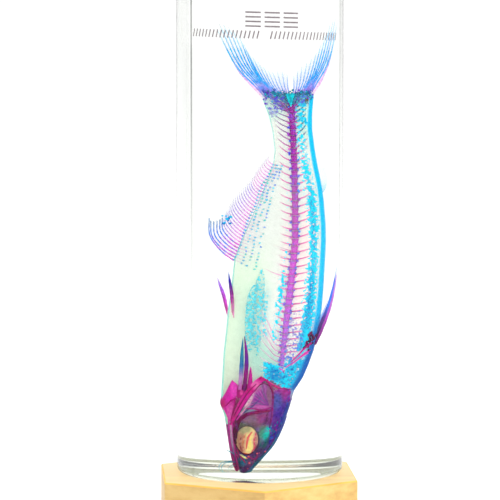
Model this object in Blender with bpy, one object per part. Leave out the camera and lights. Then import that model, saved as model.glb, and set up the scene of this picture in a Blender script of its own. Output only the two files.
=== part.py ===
"""Specimen jar: a cleared and stained fish, head down in clear fluid, in a round glass jar
that stands on a hexagonal wooden plinth and is closed by a push-in wooden lid.

Metres, +Z up. The origin is the centre of the plinth's underside. The fish's back is towards
+X, its belly towards -X and its right side towards -Y.
"""

import math

import bmesh
import bpy
from mathutils import Vector

MM = 0.001
GAP = 0.3 * MM                      # clearance between pieces that touch

# Wooden plinth
PLINTH_RADIUS = 39.8 * MM           # centre to vertex
PLINTH_HEIGHT = 22.0 * MM
PLINTH_TURN = math.radians(3.6)     # the vertex that faces -Y is turned this far towards +X
PLINTH_EDGE = 0.4 * MM

# Glass jar, which stands a little behind the plinth's centre
JAR_X = 0.7 * MM
JAR_Y = 3.6 * MM
JAR_RADIUS = 30.0 * MM
JAR_WALL = 2.0 * MM
JAR_FLOOR = 1.2 * MM
JAR_HEIGHT = 198.0 * MM
JAR_FOOT_ROUND = 1.8 * MM
JAR_RIM_ROUND = 0.9 * MM
JAR_BORE = JAR_RADIUS - JAR_WALL
ROUND_SEGMENTS = 64

# Clear film label, wrapped round the front of the glass
LABEL_LOW = 152.0 * MM
LABEL_HIGH = 169.0 * MM
LABEL_THICKNESS = 0.2 * MM
LABEL_HALF_ANGLE = math.radians(68.0)
LABEL_STEPS = 20

# Preserving fluid
FLUID_LEVEL = 178.0 * MM

# Lid: one turned piece of wood, a cap over a plug with two grooves for the seal rings
CAP_RADIUS = 31.0 * MM
CAP_HEIGHT = 12.0 * MM
CAP_ROUND = 1.6 * MM
PLUG_RADIUS = 26.9 * MM
PLUG_DEPTH = 13.0 * MM
GROOVE_RADIUS = 25.0 * MM
GROOVE_HEIGHT = 2.8 * MM
GROOVE_DEPTHS = (3.2 * MM, 8.4 * MM)
RING_HEIGHT = 2.2 * MM

# Fish. Local z runs from the snout, near the jar's floor, up to the tail; y = 0 is its
# middle plane, which leans back from the jar's floor to the jar's wall.
FISH_FORWARD = 8.0 * MM             # how far the snout is in front of the jar's axis
FISH_LEAN = math.radians(3.6)
PLATE = 1.0 * MM                    # bones and fins that lie in the middle plane
FLESH_FACE = 0.8 * MM               # the two halves of the flesh start this far off the plane
RING_POINTS = 20

# Sections of the body: height, belly edge, back edge, half thickness (all mm)
BODY = (
    (32.0, -10.0, 9.8, 6.0),
    (38.0, -9.9, 12.4, 6.7),
    (45.0, -9.6, 14.4, 7.0),
    (52.0, -9.0, 15.8, 6.9),
    (60.0, -8.3, 16.6, 6.6),
    (70.0, -7.2, 17.1, 6.1),
    (79.0, -6.2, 17.2, 5.6),
    (90.0, -3.0, 16.9, 4.8),
    (102.0, 0.6, 16.0, 3.9),
    (112.0, 3.0, 14.5, 3.1),
    (124.0, 2.6, 13.1, 2.4),
    (132.0, 2.2, 13.1, 1.9),
)

# Sections of the skull and of the lower jaw: height, belly side, back side, half thickness (mm)
SKULL = (
    (2.6, -5.2, -3.4, 1.2),
    (5.5, -5.6, -0.8, 2.7),
    (11.0, -6.0, 2.6, 4.2),
    (17.0, -6.2, 5.4, 5.3),
    (23.0, -4.4, 7.6, 5.9),
    (31.0, -1.0, 9.4, 5.8),
)
LOWER_JAW = (
    (2.9, -6.9, -6.0, 0.9),
    (6.7, -7.5, -6.3, 1.9),
    (12.1, -8.1, -6.7, 2.9),
    (19.0, -9.5, -7.0, 3.8),
)
GIRDLE = (
    (20.5, -9.6, -7.2, 3.6),
    (26.0, -10.6, -7.0, 4.6),
    (31.3, -10.4, -7.2, 5.2),
)

# Middle line of the backbone, from behind the skull to the tail plate (mm)
BACKBONE = (
    (5.6, 33.0),
    (5.7, 38.0),
    (6.2, 45.0),
    (7.2, 56.0),
    (8.4, 70.0),
    (9.5, 84.0),
    (9.3, 99.0),
    (8.9, 113.0),
    (8.0, 125.0),
    (7.7, 132.0),
)
VERTEBRAE = 42
CENTRUM_HALF = 1.0                  # half width of a vertebra, mm
SPINE_WIDTH = 0.45                  # width of one bony spine, mm
SPINE_LEAN = 1.1                    # rise of a spine towards the tail over its length

# The pocket that the fish takes up in the fluid: height, belly side, back side, half thickness
POCKET = (
    (-4.0, -12.6, 1.5, 7.5),
    (12.0, -12.6, 5.5, 8.8),
    (30.0, -12.6, 12.5, 8.8),
    (45.0, -12.6, 18.5, 8.8),
    (60.0, -12.6, 21.5, 8.4),
    (76.0, -14.6, 24.2, 7.4),
    (94.0, -14.6, 19.5, 6.0),
    (112.0, -5.5, 19.0, 4.6),
    (125.0, -1.0, 15.0, 3.6),
    (134.0, -1.0, 15.6, 3.0),
    (146.0, -8.5, 18.6, 2.6),
    (160.0, -11.5, 22.4, 2.6),
    (190.0, -11.5, 22.4, 2.6),
)


# ---------------------------------------------------------------- materials

def material(name, colour, roughness, metallic=0.0, transmission=0.0):
    made = bpy.data.materials.new(name)
    made.use_nodes = True
    shader = made.node_tree.nodes["Principled BSDF"]
    shader.inputs["Base Color"].default_value = (*colour, 1.0)
    shader.inputs["Roughness"].default_value = roughness
    shader.inputs["Metallic"].default_value = metallic
    shader.inputs["Transmission Weight"].default_value = transmission
    return made


WOOD = (0.86, 0.66, 0.38)
GLASS = (0.93, 0.96, 0.94)
FLUID = (0.96, 0.98, 0.94)
SILICONE = (0.88, 0.88, 0.85)
MAGENTA = (0.52, 0.05, 0.38)
VIOLET = (0.30, 0.12, 0.50)
PINK = (0.85, 0.42, 0.72)
BLUE = (0.18, 0.40, 0.82)
CYAN = (0.10, 0.72, 0.88)
PALE_GREEN = (0.82, 0.93, 0.82)
EYE = (0.80, 0.72, 0.42)


# ---------------------------------------------------------------- mesh helpers

def add_object(name, bm, colour, roughness, parent, transmission=0.0, smooth=True):
    """Makes a named object from a bmesh, with its own material, under its parent empty."""
    bmesh.ops.recalc_face_normals(bm, faces=bm.faces)
    mesh = bpy.data.meshes.new(name)
    bm.to_mesh(mesh)
    bm.free()
    mesh.materials.append(material(name, colour, roughness, transmission=transmission))
    if smooth:
        mesh.shade_smooth()
        mesh.set_sharp_from_angle(angle=math.radians(35))
    made = bpy.data.objects.new(name, mesh)
    bpy.context.scene.collection.objects.link(made)
    made.parent = parent
    return made


def add_empty(name, location, parent=None, lean=0.0):
    empty = bpy.data.objects.new(name, None)
    bpy.context.scene.collection.objects.link(empty)
    empty.parent = parent
    empty.location = location
    empty.rotation_euler = (-lean, 0.0, 0.0)
    return empty


def turned(profile, segments=ROUND_SEGMENTS):
    """Turns a closed (radius, height) outline round Z. Points on the axis become poles."""
    bm = bmesh.new()
    rings = []
    for radius, height in profile:
        if radius == 0.0:
            rings.append([bm.verts.new((0.0, 0.0, height))])
            continue
        ring = []
        for k in range(segments):
            angle = 2.0 * math.pi * k / segments
            ring.append(bm.verts.new((radius * math.cos(angle), radius * math.sin(angle), height)))
        rings.append(ring)
    for low, high in zip(rings, rings[1:] + rings[:1]):
        if len(low) == 1 and len(high) == 1:
            continue
        for k in range(segments):
            after = (k + 1) % segments
            corners = [low[k % len(low)], low[after % len(low)]]
            corners += [high[after % len(high)], high[k % len(high)]]
            bm.faces.new(list(dict.fromkeys(corners)))
    return bm


def arc(centre, radius, start, end, steps):
    """Points (r, z) round an arc, from one angle to the other, in degrees."""
    points = []
    for k in range(steps + 1):
        angle = math.radians(start + (end - start) * k / steps)
        points.append((centre[0] + radius * math.cos(angle), centre[1] + radius * math.sin(angle)))
    return points


def skinned(rings):
    """Joins rings of equally many points into one closed skin with flat ends."""
    bm = bmesh.new()
    made = [[bm.verts.new(point) for point in ring] for ring in rings]
    for low, high in zip(made, made[1:]):
        for k in range(len(low)):
            after = (k + 1) % len(low)
            bm.faces.new((low[k], low[after], high[after], high[k]))
    bm.faces.new(made[0][::-1])
    bm.faces.new(made[-1])
    return bm


def oval_rings(sections):
    rings = []
    for height, belly, back, half in sections:
        middle = (belly + back) / 2
        reach = (back - belly) / 2
        ring = []
        for k in range(RING_POINTS):
            angle = 2.0 * math.pi * k / RING_POINTS
            x = middle + reach * math.cos(angle)
            ring.append((x * MM, half * math.sin(angle) * MM, height * MM))
        rings.append(ring)
    return rings


def half_oval_rings(sections, side):
    """Sections of one half of the flesh: a half oval with its flat face near the middle plane."""
    rings = []
    steps = RING_POINTS // 2
    for height, belly, back, half in sections:
        middle = (belly + back) / 2
        reach = (back - belly) / 2
        ring = []
        for k in range(steps + 1):
            angle = math.pi * k / steps
            x = middle + reach * math.cos(angle)
            y = FLESH_FACE + (half * MM - FLESH_FACE) * math.sin(angle)
            ring.append((x * MM, side * y, height * MM))
        rings.append(ring)
    return rings


def box_rings(sections):
    rings = []
    for height, belly, back, half in sections:
        corners = ((belly, -half), (back, -half), (back, half), (belly, half))
        rings.append([(x * MM, y * MM, height * MM) for x, y in corners])
    return rings


def plate(outline, thickness=PLATE, offset=0.0):
    """A flat plate: an (x, z) outline in mm, extruded to both sides of y = offset."""
    bm = bmesh.new()
    near = [bm.verts.new((x * MM, offset - thickness / 2, z * MM)) for x, z in outline]
    far = [bm.verts.new((x * MM, offset + thickness / 2, z * MM)) for x, z in outline]
    count = len(outline)
    for k in range(count):
        after = (k + 1) % count
        bm.faces.new((near[k], near[after], far[after], far[k]))
    bm.faces.new(near[::-1])
    bm.faces.new(far)
    return bm


def along(points, height):
    """Reads x at a height from (x, z) points, in straight steps."""
    for (x0, z0), (x1, z1) in zip(points, points[1:]):
        if height <= z1:
            return x0 + (x1 - x0) * (height - z0) / (z1 - z0)
    return points[-1][0]


# ---------------------------------------------------------------- plinth, jar and lid

def build_plinth():
    bm = bmesh.new()
    corners = []
    for k in range(6):
        angle = math.radians(-90 + 60 * k) + PLINTH_TURN
        corners.append((PLINTH_RADIUS * math.cos(angle), PLINTH_RADIUS * math.sin(angle)))
    bottom = [bm.verts.new((x, y, 0.0)) for x, y in corners]
    base = bm.faces.new(bottom)
    top = bmesh.ops.extrude_face_region(bm, geom=[base])
    lifted = [v for v in top["geom"] if isinstance(v, bmesh.types.BMVert)]
    bmesh.ops.translate(bm, verts=lifted, vec=(0.0, 0.0, PLINTH_HEIGHT))
    block = add_object("plinth", bm, WOOD, 0.55, None, smooth=False)
    bevel = block.modifiers.new("eased_edges", "BEVEL")
    bevel.width = PLINTH_EDGE
    bevel.segments = 2
    return block


def build_jar(parent):
    foot = JAR_FOOT_ROUND
    rim = JAR_RIM_ROUND
    outline = [(0.0, 0.0)]
    outline += arc((JAR_RADIUS - foot, foot), foot, -90, 0, 5)
    outline += arc((JAR_RADIUS - rim, JAR_HEIGHT - rim), rim, 0, 90, 4)
    outline += arc((JAR_BORE + rim, JAR_HEIGHT - rim), rim, 90, 180, 4)
    outline += arc((JAR_BORE - foot / 2, JAR_FLOOR + foot / 2), foot / 2, 0, -90, 4)
    outline.append((0.0, JAR_FLOOR))
    add_object("jar_glass", turned(outline), GLASS, 0.02, parent, transmission=1.0)


def build_label(parent):
    inner = JAR_RADIUS + GAP
    outer = inner + LABEL_THICKNESS
    rings = []
    for k in range(LABEL_STEPS + 1):
        angle = -math.pi / 2 - LABEL_HALF_ANGLE + 2 * LABEL_HALF_ANGLE * k / LABEL_STEPS
        corners = ((inner, LABEL_LOW), (outer, LABEL_LOW), (outer, LABEL_HIGH), (inner, LABEL_HIGH))
        ring = []
        for radius, height in corners:
            ring.append((radius * math.cos(angle), radius * math.sin(angle), height))
        rings.append(ring)
    add_object("label_film", skinned(rings), GLASS, 0.1, parent, transmission=0.9)


def build_fluid(parent, specimen_frame):
    radius = JAR_BORE - GAP
    low = JAR_FLOOR + GAP
    foot = JAR_FOOT_ROUND / 2
    outline = [(0.0, low)]
    outline += arc((radius - foot, low + foot), foot, -90, 0, 3)
    outline += [(radius, FLUID_LEVEL), (0.0, FLUID_LEVEL)]
    bm = turned(outline)
    fluid = add_object("preserving_fluid", bm, FLUID, 0.02, parent, transmission=1.0)
    cutter = add_object("fish_pocket", skinned(box_rings(POCKET)), FLUID, 0.5, specimen_frame)
    cutter.hide_render = True
    cutter.display_type = "WIRE"
    cut = fluid.modifiers.new("fish_pocket", "BOOLEAN")
    cut.operation = "DIFFERENCE"
    cut.object = cutter


def build_lid(parent):
    outline = [(0.0, -PLUG_DEPTH), (PLUG_RADIUS - MM, -PLUG_DEPTH), (PLUG_RADIUS, MM - PLUG_DEPTH)]
    for depth in reversed(GROOVE_DEPTHS):
        low = -depth - GROOVE_HEIGHT / 2
        high = -depth + GROOVE_HEIGHT / 2
        outline += [(PLUG_RADIUS, low), (GROOVE_RADIUS, low), (GROOVE_RADIUS, high), (PLUG_RADIUS, high)]
    outline += [(PLUG_RADIUS, GAP), (CAP_RADIUS - CAP_ROUND / 2, GAP), (CAP_RADIUS, GAP + CAP_ROUND / 2)]
    outline += arc((CAP_RADIUS - CAP_ROUND, CAP_HEIGHT - CAP_ROUND), CAP_ROUND, 0, 90, 4)
    outline.append((0.0, CAP_HEIGHT))
    add_object("lid", turned(outline), WOOD, 0.55, parent)
    for name, depth in zip(("seal_ring_upper", "seal_ring_lower"), GROOVE_DEPTHS):
        inner = GROOVE_RADIUS + GAP
        outer = JAR_BORE - GAP
        low = -depth - RING_HEIGHT / 2
        high = -depth + RING_HEIGHT / 2
        lip = 0.5 * MM
        ring = [(inner, low), (outer - lip, low), (outer, low + lip), (outer, high - lip)]
        ring += [(outer - lip, high), (inner, high)]
        add_object(name, turned(ring), SILICONE, 0.4, parent)


# ---------------------------------------------------------------- fish

def build_head(parent):
    add_object("skull", skinned(oval_rings(SKULL)), VIOLET, 0.4, parent)
    add_object("lower_jaw", skinned(oval_rings(LOWER_JAW)), MAGENTA, 0.4, parent)
    add_object("pectoral_girdle", skinned(oval_rings(GIRDLE)), MAGENTA, 0.4, parent)
    cover = ((-5.6, 23.0), (-5.4, 25.8), (-2.4, 30.4), (0.6, 33.0), (3.6, 31.6), (4.4, 27.0), (2.8, 23.4),
             (-1.5, 22.2))
    for name, side in (("right", -1.0), ("left", 1.0)):
        gill = plate(cover, 0.5 * MM, side * 7.2 * MM)
        add_object("gill_cover_" + name, gill, VIOLET, 0.4, parent, smooth=False)
        eye = bmesh.new()
        bmesh.ops.create_uvsphere(eye, u_segments=16, v_segments=8, radius=1.0 * MM)
        bmesh.ops.scale(eye, verts=eye.verts, vec=(2.7, 0.8, 4.6))
        bmesh.ops.translate(eye, verts=eye.verts, vec=(-3.9 * MM, side * 6.0 * MM, 13.6 * MM))
        add_object("eye_" + name, eye, EYE, 0.3, parent)


def build_backbone(parent):
    """Vertebrae in a row with a spine to each side, leaning towards the tail, as one comb."""
    low = BACKBONE[0][1]
    high = BACKBONE[-1][1]
    pitch = (high - low) / VERTEBRAE
    back_side = []
    belly_side = []
    for k in range(VERTEBRAE):
        foot = low + pitch * (k + 0.3)
        axis = along(BACKBONE, foot)
        share = k / (VERTEBRAE - 1)
        back_reach = 1.4 if foot < 50.0 else 3.9 - 1.6 * share
        belly_reach = 1.6 if foot < 74.0 else 3.6 - 1.5 * share
        room = (high - foot) / SPINE_LEAN
        for side, reach, edge in ((1.0, back_reach, back_side), (-1.0, belly_reach, belly_side)):
            reach = min(reach, room)
            root = axis + side * CENTRUM_HALF
            tip = root + side * reach
            rise = reach * SPINE_LEAN
            edge.append((root, foot))
            edge.append((tip, foot + rise))
            edge.append((tip - side * 0.1, foot + rise + SPINE_WIDTH))
            edge.append((root, foot + SPINE_WIDTH * 1.6))
    start = [(along(BACKBONE, low) - 0.6, low), (along(BACKBONE, low) + 0.6, low)]
    end = [(along(BACKBONE, high) + 0.6, high + 0.4), (along(BACKBONE, high) - 0.6, high + 0.4)]
    outline = start + back_side + end + belly_side[::-1]
    add_object("backbone", plate(outline), MAGENTA, 0.4, parent, smooth=False)


def build_flesh(parent):
    for name, side in (("right", -1.0), ("left", 1.0)):
        rings = half_oval_rings(BODY, side)
        add_object("flesh_" + name, skinned(rings), PALE_GREEN, 0.2, parent, transmission=0.8)
    gut = ((-3.4, 46.0), (-1.0, 43.5), (2.6, 45.5), (3.0, 56.0), (3.2, 68.0), (1.0, 73.0), (-2.6, 71.0),
           (-3.6, 60.0))
    add_object("gut", plate(gut), CYAN, 0.5, parent, smooth=False)


def build_middle_fins(parent):
    shapes = (
        ("fin_shield", VIOLET, ((8.6, 36.2), (9.8, 35.8), (15.2, 45.2), (14.6, 47.0))),
        ("dorsal_fin", BLUE, ((15.6, 46.4), (16.6, 46.8), (20.2, 57.5), (23.1, 73.4), (22.0, 71.0),
                              (18.6, 60.0), (16.8, 52.6))),
        ("adipose_fin", CYAN, ((16.7, 101.6), (17.9, 103.0), (18.2, 107.0), (17.2, 110.6), (16.0, 109.6))),
        ("anal_fin_supports", CYAN, ((-5.6, 80.0), (-1.8, 78.0), (4.9, 109.0), (3.4, 111.4))),
        ("anal_fin", PINK, ((2.1, 111.4), (-2.6, 106.0), (-8.1, 99.0), (-13.2, 92.2), (-12.8, 87.0),
                            (-11.4, 82.4), (-7.3, 79.0))),
        ("tail_plate", MAGENTA, ((2.2, 133.0), (13.2, 133.0), (13.3, 136.2), (7.6, 138.0), (2.0, 136.2))),
        ("tail_lobe_belly_side", BLUE, ((1.8, 136.8), (-3.6, 143.4), (-9.0, 157.4), (-9.2, 160.2),
                                        (-6.6, 157.2), (-1.6, 148.0), (3.0, 141.6), (7.2, 138.6))),
        ("tail_lobe_back_side", BLUE, ((8.0, 138.6), (11.4, 143.0), (15.0, 150.0), (18.6, 158.0),
                                       (20.3, 160.4), (20.3, 157.6), (18.2, 150.0), (15.5, 141.0),
                                       (13.6, 136.8))),
    )
    for name, colour, outline in shapes:
        add_object(name, plate(outline), colour, 0.4, parent, smooth=False)


def build_paired_fins(parent):
    pelvic = ((-8.9, 59.0), (-9.7, 61.0), (-11.2, 71.4), (-9.6, 69.0), (-8.6, 62.0))
    pectoral = ((-5.9, 33.6), (-6.3, 42.0), (-5.7, 50.4), (-4.6, 46.0), (-3.4, 33.6))
    barbel = ((-7.6, 4.6), (-9.6, 3.6), (-11.4, 5.0), (-11.6, 7.2), (-10.4, 8.8), (-9.6, 11.0))
    for name, side in (("right", -1.0), ("left", 1.0)):
        fin = plate(pelvic, 0.6 * MM, side * 1.8 * MM)
        add_object("pelvic_fin_" + name, fin, VIOLET, 0.4, parent, smooth=False)
        fin = plate(pectoral, 0.6 * MM, side * 7.9 * MM)
        add_object("pectoral_fin_" + name, fin, BLUE, 0.4, parent, smooth=False)
        rings = []
        for x, z in barbel:
            middle = Vector((x, side * (2.4 + (z - 3.6) * 0.3), z)) * MM
            rings.append([middle + Vector(step) * 0.3 * MM for step in
                          ((1, 0, 0.6), (0, 1, 0), (-1, 0, -0.6), (0, -1, 0))])
        add_object("barbel_" + name, skinned(rings), CYAN, 0.5, parent, smooth=False)


def build_fish(parent):
    build_head(parent)
    build_backbone(parent)
    build_flesh(parent)
    build_middle_fins(parent)
    build_paired_fins(parent)


def main():
    for old in list(bpy.data.objects):
        bpy.data.objects.remove(old, do_unlink=True)
    build_plinth()
    jar_frame = add_empty("jar_frame", (JAR_X, JAR_Y, PLINTH_HEIGHT + GAP))
    specimen_frame = add_empty("specimen_frame", (0.0, -FISH_FORWARD, 0.0), jar_frame, FISH_LEAN)
    lid_frame = add_empty("lid_frame", (0.0, 0.0, JAR_HEIGHT), jar_frame)
    build_jar(jar_frame)
    build_label(jar_frame)
    build_fluid(jar_frame, specimen_frame)
    build_fish(specimen_frame)
    build_lid(lid_frame)


main()
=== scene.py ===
import math
import random

import bmesh
import bpy
import numpy as np
from mathutils import Matrix, Vector


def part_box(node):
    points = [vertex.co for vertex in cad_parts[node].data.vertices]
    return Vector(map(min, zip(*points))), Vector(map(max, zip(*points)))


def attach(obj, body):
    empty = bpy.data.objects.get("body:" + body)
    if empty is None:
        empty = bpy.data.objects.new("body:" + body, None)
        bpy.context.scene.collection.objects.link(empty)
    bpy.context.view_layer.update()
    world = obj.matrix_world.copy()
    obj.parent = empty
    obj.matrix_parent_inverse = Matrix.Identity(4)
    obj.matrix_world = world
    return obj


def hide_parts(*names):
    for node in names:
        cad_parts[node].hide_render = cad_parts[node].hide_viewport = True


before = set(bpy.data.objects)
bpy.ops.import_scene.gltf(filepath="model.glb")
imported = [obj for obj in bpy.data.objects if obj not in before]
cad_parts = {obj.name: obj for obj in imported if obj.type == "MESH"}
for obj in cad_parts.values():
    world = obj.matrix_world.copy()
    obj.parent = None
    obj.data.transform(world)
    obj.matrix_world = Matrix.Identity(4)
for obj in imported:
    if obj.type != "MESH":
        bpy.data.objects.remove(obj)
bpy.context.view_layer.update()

# Everything below is in metres, except the fish's own outlines, which are in millimetres in the
# fish's frame: +X to its back, -X to its belly, +Z from snout to tail, y = 0 its middle plane.
MM = 0.001
JAR_LOW, JAR_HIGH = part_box("jar_glass")
JAR_AXIS = (JAR_LOW + JAR_HIGH) / 2
JAR_RADIUS = (JAR_HIGH.x - JAR_LOW.x) / 2
FLUID_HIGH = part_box("preserving_fluid")[1]
PLINTH_LOW, PLINTH_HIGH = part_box("plinth")
LID_LOW, LID_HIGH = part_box("lid")
LABEL_LOW, LABEL_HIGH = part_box("label_film")

JAR_WALL = 2.0 * MM
JAR_FLOOR = 1.2 * MM
JAR_BORE = JAR_RADIUS - JAR_WALL
FISH_FORWARD = 8.0 * MM             # the snout is this far in front of the jar's axis
FISH_LEAN = math.radians(3.6)
FLUID_INDEX = 1.475                 # glycerine, and nearly the glass's own

SIDES = (("right", -1.0), ("left", 1.0))
TINT_KEYS = ("tint_r", "tint_g", "tint_b")

FISH_FRAME = (
    Matrix.Translation((JAR_AXIS.x, JAR_AXIS.y - FISH_FORWARD, JAR_LOW.z))
    @ Matrix.Rotation(-FISH_LEAN, 4, "X")
    @ Matrix.Scale(MM, 4)
)


# ---------------------------------------------------------------- camera, light, floor

CAMERA_DISTANCE = 1.0
CAMERA_RISE = 175.5 * MM            # above the jar's underside
CAMERA_SIDE = -3.5 * MM             # from the jar's axis
CAMERA_PITCH = math.radians(5.45)
CAMERA_LENS = 200.5

WORLD_SIDE = 1.06
WORLD_TOP = 1.25

FLOOR_RADIUS = 1.1
FLOOR_CORNERS = 96
FLOOR_DROP = 0.1 * MM               # the floor lies this far under the plinth
FLOOR_WHITE = (0.93, 0.93, 0.93)

LAMP_AIM = (JAR_AXIS.x, JAR_AXIS.y, 0.1)
LAMPS = (
    # name, place, size, power
    ("key", (0.6, -0.7, 1.0), 0.9, 4.7),
    ("fill", (-0.2, 0.3, 1.4), 0.9, 3.0),
)

FLAG_HIGH = 0.75
FLAG_THICK = 0.004
FLAG_FADE = 0.13                    # up to here a card darkens from its pale foot to its own grey
FLAG_FOOT = 0.95
FLAGS = (
    # name, centre, width, grey
    ("flag_right", (0.556, 0.225), 0.585, 0.72),
    ("flag_right_edge", (0.37, 0.46), 0.02, 0.26),
    ("flag_left", (-0.58, 0.13), 0.34, 0.64),
    ("flag_left_edge", (-0.52, 0.29), 0.02, 0.24),
)


def add_object(name, data):
    made = bpy.data.objects.new(name, data)
    bpy.context.scene.collection.objects.link(made)
    return made


def make_camera():
    data = bpy.data.cameras.new("camera")
    data.lens = CAMERA_LENS
    data.clip_start = 0.01
    data.clip_end = 50.0
    camera = add_object("camera", data)
    camera.location = (JAR_AXIS.x + CAMERA_SIDE, JAR_AXIS.y - CAMERA_DISTANCE, JAR_LOW.z + CAMERA_RISE)
    camera.rotation_euler = (math.pi / 2 - CAMERA_PITCH, 0.0, 0.0)
    bpy.context.scene.camera = camera


def make_world():
    """A white studio, brighter overhead."""
    world = bpy.data.worlds.new("studio")
    bpy.context.scene.world = world
    world.use_nodes = True
    nt = world.node_tree
    back = nt.nodes["Background"]
    coords = nt.nodes.new("ShaderNodeTexCoord")
    split = nt.nodes.new("ShaderNodeSeparateXYZ")
    nt.links.new(coords.outputs["Generated"], split.inputs[0])
    lift = nt.nodes.new("ShaderNodeMapRange")
    lift.inputs["To Min"].default_value = WORLD_SIDE
    lift.inputs["To Max"].default_value = WORLD_TOP
    nt.links.new(split.outputs["Z"], lift.inputs["Value"])
    nt.links.new(lift.outputs[0], back.inputs["Strength"])
    back.inputs["Color"].default_value = (1.0, 1.0, 1.0, 1.0)


def make_floor():
    mesh = bpy.data.meshes.new("floor")
    points = []
    for k in range(FLOOR_CORNERS):
        angle = 2 * math.pi * k / FLOOR_CORNERS
        points.append((FLOOR_RADIUS * math.cos(angle), FLOOR_RADIUS * math.sin(angle), 0.0))
    mesh.from_pydata(points, [], [list(range(FLOOR_CORNERS))])
    floor = add_object("floor", mesh)
    floor.location.z = PLINTH_LOW.z - FLOOR_DROP
    made = Nodes("floor_white")
    made.set(Base_Color=FLOOR_WHITE, Roughness=0.9)
    mesh.materials.append(made.material)


def make_flag(name, centre, width, grey):
    """A standing grey card beside the jar, which draws the edges of the glass."""
    shape = Shape()
    middle = Vector((*centre, 0.0))
    spread = Vector((-centre[1], centre[0], 0.0)).normalized() * width / 2
    thick = middle.normalized() * FLAG_THICK
    ring = [middle - spread, middle + spread, middle + spread + thick, middle - spread + thick]
    shape.rings([[(p.x, p.y, height) for p in ring] for height in (PLINTH_LOW.z, FLAG_HIGH)])
    mesh = bpy.data.meshes.new(name)
    mesh.from_pydata(shape.points, [], shape.faces)
    made = Nodes(name)
    place = made.new("ShaderNodeTexCoord")
    split = made.new("ShaderNodeSeparateXYZ")
    made.feed(split.inputs[0], place.outputs["Object"])
    tone = made.remap(split.outputs["Z"], 0.0, FLAG_FADE, FLAG_FOOT, grey)
    made.set(Base_Color=tone, Roughness=1.0)
    mesh.materials.append(made.material)
    card = add_object(name, mesh)
    card.visible_camera = False
    card.visible_shadow = False
    card.visible_diffuse = False


def make_light(name, place, size, power):
    data = bpy.data.lights.new(name, "AREA")
    data.shape = "DISK"
    data.size = size
    data.energy = power
    lamp = add_object(name, data)
    lamp.location = place
    lamp.rotation_euler = (Vector(LAMP_AIM) - Vector(place)).to_track_quat("-Z", "Y").to_euler()
    lamp.visible_camera = False


def make_stage():
    make_camera()
    make_world()
    make_floor()
    for lamp in LAMPS:
        make_light(*lamp)
    for flag in FLAGS:
        make_flag(*flag)
    scene = bpy.context.scene
    scene.view_settings.view_transform = "Standard"
    scene.cycles.max_bounces = 24
    scene.cycles.transmission_bounces = 24
    scene.cycles.transparent_max_bounces = 64


# ---------------------------------------------------------------- material helpers

class Nodes:
    """Short calls for building a material's node tree."""

    def __init__(self, name):
        self.material = bpy.data.materials.new(name)
        self.material.use_nodes = True
        self.tree = self.material.node_tree
        self.shader = self.tree.nodes["Principled BSDF"]
        self.output = self.tree.nodes["Material Output"]

    def new(self, kind, **values):
        node = self.tree.nodes.new(kind)
        for key, value in values.items():
            setattr(node, key, value)
        return node

    def feed(self, socket, source):
        if hasattr(source, "is_output"):
            self.tree.links.new(source, socket)
        elif socket.type == "RGBA":
            socket.default_value = (*source, 1.0)
        else:
            socket.default_value = source

    def math(self, operation, a, b=0.0, clamp=False):
        node = self.new("ShaderNodeMath", operation=operation, use_clamp=clamp)
        self.feed(node.inputs[0], a)
        self.feed(node.inputs[1], b)
        return node.outputs[0]

    def noise(self, scale, detail=3.0, rough=0.55, stretch=(1.0, 1.0, 1.0), shift=0.0):
        place = self.new("ShaderNodeTexCoord")
        mapping = self.new("ShaderNodeMapping")
        self.feed(mapping.inputs["Vector"], place.outputs["Object"])
        mapping.inputs["Scale"].default_value = stretch
        mapping.inputs["Location"].default_value = (shift, shift, shift)
        node = self.new("ShaderNodeTexNoise")
        self.feed(node.inputs["Vector"], mapping.outputs[0])
        node.inputs["Scale"].default_value = scale
        node.inputs["Detail"].default_value = detail
        node.inputs["Roughness"].default_value = rough
        return node.outputs[0]

    def attribute(self, name):
        return self.new("ShaderNodeAttribute", attribute_name=name).outputs["Fac"]

    def ramp(self, value, stops):
        """stops are (position, (r, g, b)) or (position, grey)."""
        node = self.new("ShaderNodeValToRGB")
        elements = node.color_ramp.elements
        while len(elements) < len(stops):
            elements.new(0.5)
        for element, (position, colour) in zip(elements, stops):
            element.position = position
            if not hasattr(colour, "__len__"):
                colour = (colour, colour, colour)
            element.color = (*colour, 1.0)
        self.feed(node.inputs[0], value)
        return node.outputs[0]

    def remap(self, value, low, high, start, end, curve="LINEAR"):
        """Takes the range from low to high to the range from start to end."""
        node = self.new("ShaderNodeMapRange", interpolation_type=curve)
        for key, number in (("From Min", low), ("From Max", high), ("To Min", start), ("To Max", end)):
            self.feed(node.inputs[key], number)
        self.feed(node.inputs["Value"], value)
        return node.outputs[0]

    def mix(self, factor, a, b, blend="MIX"):
        node = self.new("ShaderNodeMix", data_type="RGBA", blend_type=blend)
        self.feed(node.inputs[0], factor)
        self.feed(node.inputs[6], a)
        self.feed(node.inputs[7], b)
        return node.outputs[2]

    def bump(self, height, distance, strength=0.5):
        node = self.new("ShaderNodeBump")
        node.inputs["Strength"].default_value = strength
        node.inputs["Distance"].default_value = distance
        self.feed(node.inputs["Height"], height)
        self.feed(self.shader.inputs["Normal"], node.outputs[0])

    def set(self, **values):
        for key, value in values.items():
            self.feed(self.shader.inputs[key.replace("_", " ")], value)


def lets_light_in(made, clear):
    """Rays from lamps and from soft surfaces pass straight through this glass."""
    path = made.new("ShaderNodeLightPath")
    straight = made.new("ShaderNodeBsdfTransparent")
    made.feed(straight.inputs["Color"], clear)
    share = made.math("MAXIMUM", path.outputs["Is Shadow Ray"], path.outputs["Is Diffuse Ray"])
    both = made.new("ShaderNodeMixShader")
    made.feed(both.inputs[0], share)
    made.feed(both.inputs[1], made.shader.outputs[0])
    made.feed(both.inputs[2], straight.outputs[0])
    made.feed(made.output.inputs[0], both.outputs[0])


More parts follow.
